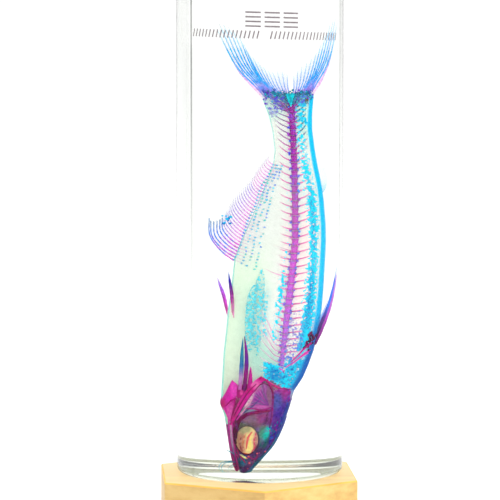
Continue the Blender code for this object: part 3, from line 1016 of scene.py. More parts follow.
def add_spine(shape, s, side, size, chance):
    """The bony spine to one side of a vertebra; +1 is the back."""
    root_x = backbone_at(s) + side * size * 0.8
    if side > 0:
        reach = np.interp(s, [34, 40, 48, 56, 66, 78, 90, 118, 126, 132],
                                [2.0, 5.0, 7.4, 7.2, 5.8, 4.2, 3.4, 2.9, 3.6, 3.8])
        rise = np.interp(s, [34, 46, 60, 75, 90, 105, 118, 132], [0.8, 1.0, 1.4, 1.5, 1.9, 2.4, 3.1, 3.2])
        hook = np.interp(s, [38, 52, 64], [1.0, 2.6, 0.0])
    else:
        if s < 51.0:
            return
        reach = np.interp(s, [52, 66, 73, 74, 90, 118, 124, 132], [1.8, 2.0, 2.0, 3.0, 3.2, 3.4, 4.4, 5.0])
        rise = np.interp(s, [52, 74, 90, 118, 132], [1.2, 1.0, 1.7, 3.3, 3.6])
        hook = 0.0
    belly, back, _ = outline_at(s + rise)
    limit = (back - 1.6) if side > 0 else (belly + 1.0)
    reach = min(reach, abs(limit - root_x))
    rise = min(rise, 134.2 - s)
    points = [
        (root_x, s + 0.5),
        (root_x + side * reach * 0.5, s + 0.5 + rise * 0.36),
        (root_x + side * reach * 0.9, s + 0.5 + rise * 0.84),
        (root_x + side * reach, s + 0.5 + rise + hook * 0.4),
    ]
    if hook > 0.3:
        points.append((root_x + side * (reach + 0.3), s + 0.5 + rise + hook))
    path = smooth_path(points, 16)
    path[:, 0] += chance.uniform(-0.08, 0.08)
    t = even(16)
    near_tail = fade(s, 112.0, 124.0)
    middle = PINK * (1 - near_tail) + (rgb(160, 96, 180) if side < 0 else rgb(0, 140, 176)) * near_tail
    tip = PALE_PINK * (1 - near_tail) + (rgb(190, 120, 200) if side < 0 else rgb(0, 176, 206)) * near_tail
    root = MAGENTA * (1 - near_tail) + rgb(160, 30, 150) * near_tail
    tint = gradient(t, [(0.0, root), (0.25, middle), (0.75, middle), (1.0, tip)])
    cover = 0.95 - 0.75 * t ** 2.2 * (1 - near_tail)
    width = (0.30 - 0.16 * t) * (1.0 + 0.3 * near_tail if side > 0 else 0.9 - 0.1 * near_tail)
    tube(shape, at_y(path, 0.0), width, 8, slot=1, tint=tint, cover=cover)


def add_ribs(shape, chance):
    """Long ribs, in pairs, that run down inside the wall of the belly."""
    t = even(22)
    tint = gradient(t, [(0.0, HOT_PINK), (0.2, rgb(232, 136, 208)), (1.0, PALE_PINK)])
    for k in range(7):
        foot = 37.4 + 1.9 * k
        tip_s = foot + 2.8 + 1.35 * k
        for side in (-1.0, 1.0):
            root = backbone_at(foot) - 0.5
            points = ((root, side * 0.8, foot), (root - 1.6, side * 3.4, foot + 1.1),
                      (root - 3.6, side * 5.4, foot + (tip_s - foot) * 0.62),
                      (root - 5.4, side * 6.2, tip_s))
            path = smooth_path(points, 22)
            tube(shape, path, 0.17 - 0.06 * t, 7, slot=1, tint=tint, cover=0.75 - 0.4 * t ** 2)
    path = smooth_path(((7.8, 71.4), (5.5, 72.3), (3.4, 73.3), (1.3, 74.8)), 22)
    tube(shape, at_y(path, 0.0), 0.24 - 0.1 * t, 8, slot=1, tint=tint, cover=0.9 - 0.4 * t)
    for k in range(3):
        path = smooth_path(((8.0, 75.0 + 3 * k), (5.5, 76.2 + 3 * k), (2.6, 77.4 + 3 * k)), 22)
        tube(shape, at_y(path, 0.0), 0.2 - 0.1 * t, 8, slot=1, tint=tint, cover=0.6 - 0.5 * t)


# ---------------------------------------------------------------- fish: fins

def ray(shape, path, width, stops, chance, fading, count, flicker):
    """One fin ray, jointed every millimetre or so, stained in broken lengths."""
    line = smooth_path(path, count)
    t = even(count)
    waves = np.linspace(0.0, 2 * math.pi * max(3, count // 5), count)
    joints = 1 + 0.16 * np.cos(waves + chance.random() * 6)
    tint = gradient(t, stops)
    if flicker is not None:
        share = np.repeat([chance.random() for _ in range(count // 2 + 1)], 2)[:count]
        share = (share > 0.55) * 0.75 * np.sin(np.pi * np.clip(t * 1.1, 0, 1))
        tint = tint * (1 - share[:, None]) + np.array(flicker)[None, :] * share[:, None]
    cover = 1 - fading * t ** 3
    tube(shape, at_y(line, 0.0), width * (1 - 0.5 * t) * joints, 8, 0.8, tint=tint, cover=cover)
    return line


def membrane(shape, lines, colours, cover):
    """The skin between the rays: a thin sheet across their paths, with its colours from base to tip."""
    grid = np.stack(lines)
    rows, columns, _ = grid.shape
    x = grid[..., 0].ravel()
    s = grid[..., 1].ravel()
    points = [*zip(x, np.full(len(x), -0.06), s), *zip(x, np.full(len(x), 0.06), s)]
    t = np.tile(even(columns), 2 * rows)
    tint = gradient(t, [(k / (len(colours) - 1), one) for k, one in enumerate(colours)])
    shape.add(points, plate_faces(rows, columns), 1, **tint_values(tint), cover=cover * (1 - 0.9 * t ** 3))


TAIL_RAY_TINTS = (
    # place along the ray, colour of a long ray, colour of a short one
    (0.0, rgb(140, 110, 206), rgb(160, 130, 216)),
    (0.14, rgb(176, 160, 238), rgb(200, 160, 238)),
    (0.3, rgb(110, 190, 250), rgb(196, 176, 244)),
    (0.5, rgb(20, 196, 250), rgb(196, 196, 250)),
    (0.78, rgb(50, 206, 250), rgb(226, 210, 248)),
    (1.0, rgb(186, 236, 252), rgb(186, 236, 252)),
)
OUTER_RAYS = 2                      # the pale ones along each lobe's edge
OUTER_RAY_TINTS = (
    (0.0, rgb(252, 232, 248)), (0.15, rgb(250, 220, 244)),
    (0.36, rgb(240, 200, 244)), (0.6, rgb(190, 190, 250)),
)

BELLY_LOBE_BASE = ((1.1, 134.6), (2.0, 135.2), (3.6, 135.2), (5.4, 135.0), (7.4, 135.2))
BELLY_LOBE_TIPS = (
    (-5.6, 150.0), (-8.6, 155.0), (-10.2, 159.6), (-9.6, 161.4), (-8.6, 161.2), (-7.4, 160.4),
    (-6.3, 159.2), (-5.0, 157.4), (-3.9, 154.6), (-2.9, 151.6), (-1.7, 149.8), (-0.4, 148.0),
    (0.8, 146.4), (2.0, 145.0), (3.1, 144.4), (4.2, 144.6), (5.4, 144.6), (6.6, 143.6),
)
BACK_LOBE_BASE = ((12.8, 135.4), (12.0, 135.6), (10.8, 135.6), (9.4, 135.4), (8.0, 135.2))
BACK_LOBE_TIPS = (
    (17.4, 150.6), (19.4, 157.4), (20.0, 161.8), (19.2, 163.4), (18.4, 162.4), (17.4, 161.0),
    (16.2, 157.6), (15.0, 154.2), (13.8, 151.2), (12.6, 149.2), (11.4, 147.6), (10.2, 146.4),
    (9.2, 144.8), (8.2, 143.0),
)


def lobe(name, node, bases, tips, bow, chance, materials):
    """One lobe of the tail: rays from the base line to the tips, and the skin between them."""
    shape = Shape()
    lines = []
    count = len(tips)
    for k, (base, tip) in enumerate(zip(smooth_path(bases, count), tips)):
        base, tip = np.array(base), np.array(tip)
        length = np.linalg.norm(tip - base)
        sag = bow * length * (1 - 0.6 * k / count)
        middle = (base + tip) / 2 + np.array((sag, -abs(sag) * 0.3))
        long = min(1.0, length / 24.0)
        stops = [(place, far * long + near * (1 - long)) for place, far, near in TAIL_RAY_TINTS]
        if k < OUTER_RAYS:
            stops[:4] = OUTER_RAY_TINTS
        path = (base, base * 0.62 + middle * 0.38, middle, tip)
        lines.append(ray(shape, path, 0.23 if long > 0.6 else 0.17, stops, chance, fading=0.85, count=46,
                         flicker=rgb(0, 176, 250) if long > 0.5 and k >= OUTER_RAYS else None))
    membrane(shape, lines, (rgb(246, 206, 240), rgb(206, 214, 252), rgb(206, 232, 252)), 0.34)
    shape.fish_part(name, materials, node, "fin_ray")


def make_tail():
    materials = [
        stained("fin_ray_stain", 1700.0, 0.74, 1.2, cover=0.94),
        stained("fin_skin", 900.0, 0.85, 1.1, cover=0.55),
    ]
    chance = random.Random(5)
    lobe("tail_rays_belly_side", "tail_lobe_belly_side", BELLY_LOBE_BASE, BELLY_LOBE_TIPS, -0.06, chance,
         materials)
    lobe("tail_rays_back_side", "tail_lobe_back_side", BACK_LOBE_BASE, BACK_LOBE_TIPS, 0.05, chance,
         materials)
    make_tail_plate(materials)


def make_tail_plate(materials):
    """The fan of flat bones that closes the backbone, and the spotted cartilage over them."""
    bone = stained("tail_plate_stain", 1300.0, 0.6, 1.3, second=rgb(20, 130, 160), second_share=0.8)
    shape = Shape()
    chance = random.Random(3)
    root = np.array((7.7, 132.4))
    plates = (
        ((1.2, 136.6), rgb(180, 100, 200), 0.40), ((2.9, 137.6), rgb(60, 140, 196), 0.48),
        ((4.6, 137.4), rgb(120, 90, 180), 0.48), ((6.0, 137.0), rgb(20, 150, 190), 0.46),
        ((9.2, 137.2), rgb(30, 170, 210), 0.46), ((10.6, 137.8), rgb(120, 90, 200), 0.48),
        ((12.0, 137.6), rgb(70, 140, 200), 0.48), ((13.0, 136.4), rgb(30, 160, 200), 0.36),
    )
    t = even(14)
    for tip, colour, width in plates:
        tip = np.array(tip)
        path = smooth_path((root, root * 0.5 + tip * 0.5 + (0.0, -0.3), tip), 14)
        tint = gradient(t, [(0.0, rgb(166, 10, 150)), (0.3, colour), (1.0, rgb(20, 150, 186))])
        tube(shape, at_y(path, 0.0), width * (0.5 + 0.9 * t), 10, 0.5, tint=tint)
    wedge_left = smooth_path(((7.7, 132.2), (7.0, 134.6), (6.4, 136.8)), 8)
    wedge_right = smooth_path(((7.9, 132.2), (8.3, 134.6), (8.9, 136.9)), 8)
    sheet(shape, wedge_left, wedge_right, level(-2.0), 6, 0.5,
          colour=lambda x, s: gradient(fade(s, 133.0, 137.0),
                                       [(0.0, rgb(0, 220, 222)), (1.0, rgb(0, 190, 206))]))
    for points in (((7.6, 131.0), (6.2, 132.6), (4.4, 134.2), (2.4, 135.6)),
                   ((7.9, 131.4), (9.0, 133.0), (10.6, 134.8)),
                   ((7.4, 130.0), (5.6, 132.0), (3.4, 133.6))):
        path = smooth_path(points, 14)
        tube(shape, at_y(path, -0.5), 0.42 - 0.2 * t,
             tint=gradient(t, [(0.0, rgb(166, 10, 150)), (1.0, VIOLET)]))
    for k in range(90):
        x = chance.uniform(0.8, 13.2)
        s = chance.uniform(133.4, 138.6) - 0.06 * abs(x - 7.0)
        colour = chance.choice((TEAL, rgb(30, 150, 180), rgb(0, 186, 210), VIOLET, rgb(90, 110, 200)))
        reach = chance.uniform(0.14, 0.3)
        bead(shape, (x, chance.uniform(-0.9, -0.5), s), (reach, reach, reach * 1.5), colour)
    bead(shape, (11.7, -0.9, 134.4), (0.45, 0.3, 0.6), rgb(128, 110, 70))
    shape.fish_part("tail_plate_fan", [bone], "tail_plate", "stained_bone")


ANAL_BASE = (
    (3.4, 111.6), (1.75, 107.2), (0.25, 103.7), (-0.9, 99.0), (-2.3, 94.8), (-3.5, 90.0), (-4.75, 84.8),
    (-5.7, 80.6), (-6.7, 77.9),
)
ANAL_TIP = (
    (2.1, 114.8), (-0.1, 111.2), (-1.6, 107.6), (-4.0, 103.6), (-6.4, 100.0), (-8.0, 96.4), (-9.8, 92.5),
    (-12.2, 91.4), (-13.1, 92.5),
)
ANAL_RAYS = 33


def make_anal_fin():
    materials = [
        stained("anal_ray_stain", 1700.0, 0.78, 1.18, cover=0.85),
        stained("anal_skin", 900.0, 0.85, 1.1, cover=0.5),
    ]
    chance = random.Random(9)
    fin = Shape()
    inside = Shape()
    bases = smooth_path(ANAL_BASE, ANAL_RAYS)
    tips = smooth_path(ANAL_TIP, ANAL_RAYS)
    lines = []
    for k, (base, tip) in enumerate(zip(bases, tips)):
        b = k / (ANAL_RAYS - 1)
        step = tip - base
        root = base + np.array((0.75 * (1 - b) + 0.1, -0.35))
        early = base + step * 0.3 + np.array((-0.35 - 0.9 * b ** 3, -0.25 - 1.2 * b ** 3))
        late = base + step * 0.7 + np.array((-0.45 - 1.3 * b ** 3, -0.35 - 1.5 * b ** 3))
        low = b > 0.82
        stops = [
            (0.0, rgb(238, 170, 224)), (0.2, rgb(230, 174, 230)),
            (0.6, rgb(188, 172, 230) if b > 0.3 else rgb(236, 200, 230)), (1.0, rgb(212, 216, 232)),
        ]
        if low:
            stops = [(0.0, rgb(230, 136, 212)), (0.3, rgb(206, 130, 226)), (0.6, rgb(140, 140, 236)),
                     (0.82, rgb(60, 150, 226)), (1.0, rgb(20, 150, 200))]
        fading = 0.3 if low else 0.92
        width = 0.18 + 0.04 * b + (0.04 if low else 0.0)
        lines.append(ray(fin, (root, early, late, tip), width, stops, chance, fading=fading, count=30,
                         flicker=rgb(60, 170, 240) if low else None))
        reach = 2.2 + 3.2 * b
        drop = 0.4 + 3.0 * b
        far = base + np.array((reach, -drop))
        path = smooth_path((base, base * 0.5 + far * 0.5 + (0.0, 0.25), far), 12)
        t = even(12)
        tint = gradient(t, [(0.0, rgb(222, 120, 210)), (1.0, rgb(206, 176, 226))])
        tube(inside, at_y(path, 0.0), 0.15 - 0.05 * t, 7, tint=tint, cover=0.75 - 0.5 * t)
        for share, amount in ((0.04, 1.0), (0.36, 0.9), (0.66, 0.8), (1.0, 0.7)):
            if chance.random() > amount:
                continue
            spot = base + (far - base) * (share + chance.uniform(-0.05, 0.05))
            colour = chance.choice((CYAN, AQUA, rgb(90, 214, 236), rgb(40, 190, 230), rgb(110, 160, 240)))
            bead(inside, (spot[0], -0.35, spot[1]),
                 (chance.uniform(0.2, 0.34), 0.2, chance.uniform(0.22, 0.4)),
                 colour, cover=chance.uniform(0.6, 0.95))
    membrane(fin, lines, (rgb(240, 214, 236), rgb(232, 226, 244)), 0.3)
    for k in range(11):
        spot = (chance.uniform(-9.6, -7.4), -0.2, chance.uniform(90.6, 93.6))
        reach = chance.uniform(0.25, 0.5)
        bead(fin, spot, (reach, 0.25, reach), chance.choice((CYAN, rgb(30, 160, 220), SKY)), cover=0.85)
    fin.fish_part("anal_fin_rays", materials, "anal_fin", "fin_ray")
    inside.fish_part("anal_fin_spotted_supports",
                     [stained("cartilage_stain", 1500.0, 0.8, 1.2, cover=0.85)], "anal_fin_supports",
                     "stained_cartilage")


def blade(shape, path, width, stops, y, cover=((0.0, 1.0),), grow=0.25):
    """A stiff fin spine or a folded bundle of rays: widest low down, and pointed."""
    line = smooth_path(path, 30)
    t = even(30)
    body = width * (np.sin(np.pi * (grow + (1 - grow) * t)) ** 0.8 + 0.08) * (1 + 0.05 * np.cos(40 * t))
    kept = np.interp(t, *zip(*cover))
    tube(shape, at_y(line, y), body, 12, 0.45, tint=gradient(t, stops), cover=kept)


DORSAL_BLADES = (
    # path, width, y, colours along it, how solid it is along it
    (((14.9, 47.4), (17.2, 53.2), (20.0, 60.9), (21.9, 67.4), (23.3, 73.2)), 0.74, 0.0,
     ((0.0, rgb(130, 30, 130)), (0.35, rgb(190, 90, 200)), (0.7, rgb(216, 140, 230)),
      (1.0, rgb(226, 200, 244))),
     ((0.0, 1.0), (0.7, 0.9), (1.0, 0.3))),
    (((15.0, 48.6), (17.2, 55.0), (19.7, 61.8), (21.6, 68.4), (23.2, 75.4)), 0.52, -0.4,
     ((0.0, rgb(70, 60, 100)), (0.3, rgb(110, 70, 160)), (0.5, BLUE), (0.8, rgb(40, 120, 240)), (1.0, SKY)),
     ((0.0, 1.0), (0.8, 0.95), (1.0, 0.35))),
    (((14.8, 49.4), (17.3, 55.0), (19.8, 61.4), (21.7, 67.8), (23.1, 73.0)), 0.95, 0.35,
     ((0.0, rgb(80, 70, 110)), (0.4, rgb(150, 110, 220)), (0.7, rgb(196, 150, 240)),
      (1.0, rgb(220, 200, 250))),
     ((0.0, 1.0), (1.0, 0.4))),
    (((14.9, 50.0), (16.2, 54.6), (17.6, 58.6), (19.2, 63.0)), 0.4, -0.2,
     ((0.0, rgb(40, 110, 150)), (0.5, rgb(110, 170, 240)), (1.0, rgb(180, 200, 250))),
     ((0.0, 0.95), (1.0, 0.35))),
)
SHIELD_STRUTS = (
    # path, width, colour at its root, colour at its end
    (((14.4, 48.0), (12.6, 46.0), (10.8, 43.6), (8.9, 41.4)), 0.42, MAGENTA, HOT_PINK),
    (((14.0, 45.4), (12.2, 43.8), (9.8, 41.4), (7.4, 39.4)), 0.34, HOT_PINK, PINK),
    (((13.6, 44.4), (11.4, 42.6), (9.2, 40.2)), 0.2, PINK, PALE_PINK),
    (((12.8, 46.6), (11.2, 44.4), (10.0, 42.6)), 0.2, PINK, PALE_PINK),
)


def make_dorsal_fin():
    material = stained("dorsal_stain", 1500.0, 0.68, 1.25, cover=0.88)
    shape = Shape()
    for path, width, y, stops, cover in DORSAL_BLADES:
        blade(shape, path, width, stops, y, cover)
    chance = random.Random(21)
    for k in range(34):
        share = chance.random()
        x = 13.2 + 2.0 * share + chance.uniform(-0.9, 0.6)
        s = 46.0 + 5.4 * share + chance.uniform(-1.0, 1.0)
        place = (x, -skin(x, s, 0.1), s)
        colour = chance.choice((rgb(90, 60, 90), rgb(110, 40, 100), rgb(70, 90, 110), rgb(140, 30, 110)))
        bead(shape, place, (chance.uniform(0.3, 0.6), 0.3, chance.uniform(0.4, 0.8)), colour, cover=0.9)
    shape.fish_part("dorsal_fin_folded", [material], "dorsal_fin", "fin_ray")


def make_fin_shield():
    shield = Shape()
    t = even(20)
    for points, width, near, far in SHIELD_STRUTS:
        path = smooth_path(points, 20)
        for side in (-1.0, 1.0):
            y = side * skin(path[:, 0], path[:, 1], 0.1)
            tube(shield, at_y(path, y), width * (1 - 0.45 * t), 9,
                 tint=gradient(t, [(0.0, near), (1.0, far)]), cover=0.95 - 0.35 * t)
    path = smooth_path(((14.9, 48.6), (14.2, 46.6), (13.2, 45.0)), 20)
    tube(shield, at_y(path, 0.0), 0.7 - 0.3 * t, 10,
         tint=gradient(t, [(0.0, rgb(90, 50, 90)), (1.0, rgb(120, 40, 110))]),
         cover=1.0)
    shield.fish_part("fin_shield_struts", [stained("shield_stain", 1500.0, 0.75, 1.2, cover=0.9)],
                     "fin_shield", "stained_bone")


def make_adipose_fin():
    shape = Shape()
    left = smooth_path(((16.3, 101.4), (16.0, 104.0), (15.8, 107.0), (15.4, 110.2)), 18)
    right = smooth_path(((16.6, 101.6), (17.4, 103.2), (17.8, 106.0), (16.9, 110.2)), 18)
    sheet(shape, left, right, level(-0.25), 8, 0.5,
          colour=lambda x, s: gradient(fade(s, 101.0, 108.0),
                                       [(0.0, rgb(120, 214, 244)), (1.0, rgb(206, 240, 250))]),
          cover=lambda x, s: 0.5 - 0.4 * fade(s, 101.5, 107.0))
    shape.fish_part("adipose_fin_soft", [stained("adipose_stain", 1200.0, 0.85, 1.1, cover=0.5)],
                    "adipose_fin", "fin_ray")


def make_paired_fins():
    material = stained("paired_fin_stain", 1500.0, 0.72, 1.22, cover=0.88)
    pelvic = {
        "right": (((-7.1, 59.0), (-7.2, 61.8), (-7.5, 66.0), (-8.0, 70.4), (-8.3, 73.6)),
                  [(0.0, rgb(232, 120, 180)), (0.22, rgb(206, 36, 150)), (0.5, rgb(140, 14, 140)),
                   (0.78, rgb(70, 50, 176)), (1.0, rgb(80, 130, 220))]),
        "left": (((-8.2, 59.4), (-8.6, 61.6), (-9.3, 65.6), (-10.2, 69.0), (-10.8, 71.6)),
                 [(0.0, HOT_PINK), (0.35, rgb(226, 110, 226)), (0.7, rgb(186, 130, 236)),
                  (1.0, rgb(206, 190, 246))]),
    }
    pectoral = {"right": 0.0, "left": 0.25}
    for name, side in SIDES:
        shape = Shape()
        path, stops = pelvic[name]
        blade(shape, path, 0.46, stops, side * 1.8,
              cover=[(0.0, 0.6), (0.2, 1.0), (0.8, 1.0), (1.0, 0.35)], grow=0.12)
        for k in range(3):
            shifted = [(x + 0.3 * (k - 1) - 0.1 * k, s - 0.9 * k) for x, s in path[:4]]
            blade(shape, shifted, 0.22, [(0.0, PINK), (0.6, rgb(186, 90, 206)), (1.0, LILAC)],
                  side * (1.8 + 0.3 * (k - 1)), cover=[(0.0, 0.5), (1.0, 0.25)])
        shape.fish_part("pelvic_fin_rays_" + name, [material], "pelvic_fin_" + name, "fin_ray")
        shape = Shape()
        move = pectoral[name]
        blade(shape, [(x + move, s) for x,
                      s in ((-5.9, 31.6), (-5.6, 36.0), (-5.3, 41.0), (-5.2, 45.0), (-4.9, 50.0))], 0.62,
              [(0.0, rgb(196, 110, 180)), (0.25, rgb(190, 150, 200)), (0.45, rgb(60, 130, 190)),
               (0.7, rgb(0, 150, 180)),
               (1.0, rgb(40, 130, 170))], side * 7.9, cover=[(0.0, 0.85), (1.0, 0.9)])
        blade(shape, [(x + move, s) for x,
                      s in ((-4.7, 31.4), (-4.2, 36.0), (-3.9, 41.0), (-4.0, 45.6), (-4.5, 50.9))], 0.60,
              [(0.0, rgb(110, 10, 110)), (0.3, rgb(160, 20, 140)), (0.55, rgb(110, 50, 160)),
               (0.8, rgb(150, 40, 150)), (1.0, rgb(110, 40, 130))], side * 8.2)
        blade(shape, [(x + move, s) for x, s in ((-3.0, 32.2), (-2.8, 35.4), (-2.65, 39.9))], 0.66,
              [(0.0, MAGENTA), (0.6, rgb(196, 40, 160)), (1.0, rgb(206, 60, 170))], side * 7.4, grow=0.42)
        shape.fish_part("pectoral_fin_rays_" + name, [material], "pectoral_fin_" + name, "fin_ray")


# ---------------------------------------------------------------- fish: head

def line_on_skin(shape, points, width, stops, side, lift, count=26, thin=0.5, cover=1.0):
    """A raised line of bone that follows the surface of the head."""
    path = smooth_path(points, count)
    t = even(count)
    y = side * skin(path[:, 0], path[:, 1], lift)
    body = width * (1 - thin * np.abs(2 * t - 1) ** 2.5)
    tube(shape, at_y(path, y), body, 8, 0.6, tint=gradient(t, stops), cover=cover)


SKULL_ZONES = (
    # x, s, width, height, turn, softness, colour
    (6.6, 27.0, 2.6, 6.0, -25.0, 0.9, rgb(112, 60, 160)),
    (4.6, 29.6, 3.6, 2.6, 0.0, 0.8, rgb(160, 62, 150)),
    (1.8, 21.0, 2.4, 3.4, 0.0, 0.9, rgb(150, 76, 146)),
    (5.4, 31.4, 4.6, 1.5, -12.0, 0.7, rgb(172, 60, 152)),
    (4.9, 27.4, 1.6, 3.4, 0.0, 0.9, rgb(96, 100, 170)),
    (5.6, 21.4, 2.0, 4.4, -20.0, 0.9, rgb(84, 46, 160)),
    (4.0, 19.0, 1.4, 3.0, -20.0, 0.9, rgb(110, 40, 150)),
    (3.2, 14.6, 1.3, 3.4, -28.0, 0.9, rgb(90, 50, 140)),
    (-2.4, 19.4, 4.4, 2.4, 0.0, 0.9, rgb(142, 114, 132)),
    (-4.4, 19.0, 2.2, 1.8, 20.0, 0.9, rgb(134, 140, 124)),
    (0.5, 15.4, 1.3, 3.6, -10.0, 0.9, rgb(100, 146, 132)),
    (1.0, 11.8, 1.0, 3.0, -25.0, 0.9, rgb(36, 104, 116)),
    (2.0, 16.2, 1.0, 2.7, -18.0, 0.7, rgb(0, 190, 186)),
    (-0.4, 9.0, 1.3, 2.2, -35.0, 0.9, rgb(90, 60, 120)),
    (-3.0, 6.0, 2.4, 2.0, 0.0, 0.8, rgb(118, 70, 124)),
    (-4.8, 5.8, 1.2, 2.2, 0.0, 0.8, rgb(50, 130, 170)),
    (-4.2, 3.0, 1.6, 1.4, 0.0, 0.8, rgb(96, 50, 120)),
)


SKULL_SECTIONS = np.array((
    # s, belly edge, back edge, half thickness
    (1.6, -5.1, -3.5, 0.8), (2.2, -5.5, -2.7, 1.5), (3.4, -5.7, -1.9, 2.2), (5.5, -6.1, -0.4, 3.1),
    (8.0, -6.5, 1.3, 3.8), (11.2, -6.8, 3.4, 4.5), (14.5, -7.0, 4.9, 5.1), (18.5, -6.8, 6.3, 5.7),
    (22.0, -5.4, 7.2, 6.1), (26.0, -4.0, 8.2, 6.3), (30.0, -2.6, 8.9, 6.3), (32.4, 0.2, 9.3, 5.6),
    (34.4, 0.6, 6.4, 4.2), (36.0, 0.6, 2.6, 2.0),
))


def skull_tint(x, s):
    tint = paint(x, s, rgb(96, 60, 150), SKULL_ZONES)
    inside = outline_at(s, SKULL_SECTIONS)[1] - x
    shade = (1 - fade(inside, 0.4, 1.2)) * fade(s, 32.0, 22.0)
    tint = tint * (1 - shade[:, None]) + rgb(14, 80, 164)[None, :] * shade[:, None]
    snout = (1 - fade(inside, 0.4, 1.1)) * fade(s, 18.0, 11.0)
    return tint * (1 - snout[:, None]) + rgb(0, 128, 164)[None, :] * snout[:, None]


EYE_X = -3.6
EYE_S = 13.6
EYE_HALF_WIDE = 3.2
EYE_HALF_HIGH = 4.95
EYE_SINK = -0.2
EYE_BULGE = 0.75

SKULL_LINES = (
    # path, width, lift, thinning towards the ends, colours along it
    # the bar behind the cheek, the skull's hind edge, and two lines over the dome of the cheek
    (((0.8, 35.6), (2.7, 33.7), (3.7, 30.4), (3.6, 25.4), (3.4, 21.6), (2.8, 18.4)), 0.36, 0.5, 0.5,
     ((0.0, rgb(196, 44, 140)), (0.3, rgb(130, 20, 100)), (0.7, rgb(150, 20, 120)), (1.0, PLUM))),
    (((0.9, 36.0), (3.3, 33.7), (5.0, 32.6), (6.5, 31.9), (8.6, 31.6)), 0.42, 0.1, 0.5,
     ((0.0, rgb(196, 40, 140)), (0.5, rgb(206, 80, 140)), (1.0, rgb(120, 40, 130)))),
    (((-6.9, 14.0), (-6.8, 16.9), (-6.2, 20.0), (-4.5, 22.3), (-2.6, 23.3), (0.6, 23.9), (3.0, 24.2)),
     0.62, 0.55, 0.4,
     ((0.0, rgb(90, 10, 70)), (0.2, rgb(110, 20, 84)), (0.6, rgb(140, 14, 104)), (1.0, rgb(150, 40, 110)))),
    (((-4.6, 24.9), (-2.0, 24.9), (0.6, 24.4), (3.4, 25.4)), 0.26, 0.95, 0.5,
     ((0.0, MAGENTA), (0.5, rgb(170, 20, 130)), (1.0, rgb(160, 30, 140)))),
)
EYE_RING_TINTS = (
    (0.0, rgb(100, 90, 110)), (0.25, rgb(120, 120, 112)), (0.5, rgb(110, 24, 80)),
    (0.75, rgb(104, 40, 80)), (1.0, rgb(100, 90, 110)),
)
SNOUT_LINES = (
    # path, width, colour
    (((-6.6, 11.0), (-6.0, 8.6), (-4.9, 6.8), (-4.0, 5.2)), 0.26, rgb(170, 30, 120)),
    (((-7.0, 13.2), (-6.9, 10.0), (-6.0, 7.0)), 0.2, rgb(196, 70, 150)),
    (((-5.6, 8.4), (-4.4, 7.4), (-3.6, 6.9)), 0.32, rgb(226, 226, 170)),
    (((-3.2, 7.6), (-1.6, 6.6), (-0.6, 8.2)), 0.3, rgb(150, 40, 120)),
    (((1.2, 8.0), (-0.8, 5.2), (-2.8, 2.9)), 0.26, rgb(0, 110, 140)),
    (((4.6, 15.2), (2.2, 10.4), (0.0, 7.2)), 0.24, rgb(90, 40, 110)),
    (((6.4, 20.6), (5.0, 16.4), (3.0, 12.4)), 0.22, rgb(60, 60, 160)),
    (((7.8, 27.0), (6.4, 23.0), (5.6, 20.0)), 0.22, rgb(70, 60, 170)),
    (((5.6, 30.6), (5.0, 27.6), (5.3, 24.4)), 0.3, rgb(84, 110, 180)),
)
SNOUT_SPOTS = (rgb(226, 110, 130), rgb(176, 40, 130), rgb(30, 130, 150), rgb(110, 50, 120), DEEP_TEAL)
CROWN_SPOTS = (
    rgb(60, 96, 190), rgb(30, 120, 166), rgb(120, 40, 170), rgb(170, 50, 160), rgb(64, 40, 170),
    rgb(96, 40, 150),
)


def add_skull_lines(shape, side):
    for points, width, lift, thin, stops in SKULL_LINES:
        line_on_skin(shape, points, width, stops, side, lift, thin=thin)
    ring = []
    for k in range(25):
        angle = 2 * math.pi * k / 24
        ring.append((EYE_X + 3.4 * math.cos(angle), EYE_S + 5.2 * math.sin(angle)))
    line_on_skin(shape, ring, 0.2, EYE_RING_TINTS, side, 0.06, count=60, thin=0.0)
    for points, width, colour in SNOUT_LINES:
        line_on_skin(shape, points, width, [(0.0, colour), (1.0, colour * 0.9)], side, 0.06)


def add_skull_spots(shape, side):
    chance = random.Random(17)
    for k in range(34):
        s = chance.uniform(2.4, 9.5)
        belly, back, _ = outline_at(s)
        x = chance.uniform(belly + 1.0, back - 0.5)
        colour = chance.choice(SNOUT_SPOTS)
        reach = chance.uniform(0.16, 0.34)
        bead(shape, (x, side * skin(x, s, 0.05), s), (reach, 0.2, reach), colour, cover=1.0)
    for k in range(120):
        s = chance.uniform(12.0, 32.0)
        _, back, _ = outline_at(s)
        x = chance.uniform(max(2.6, back - 4.6), back - 0.6)
        colour = chance.choice(CROWN_SPOTS)
        reach = chance.uniform(0.2, 0.5)
        bead(shape, (x, side * skin(x, s), s), (reach, 0.2, reach * 1.5), colour, cover=0.9)


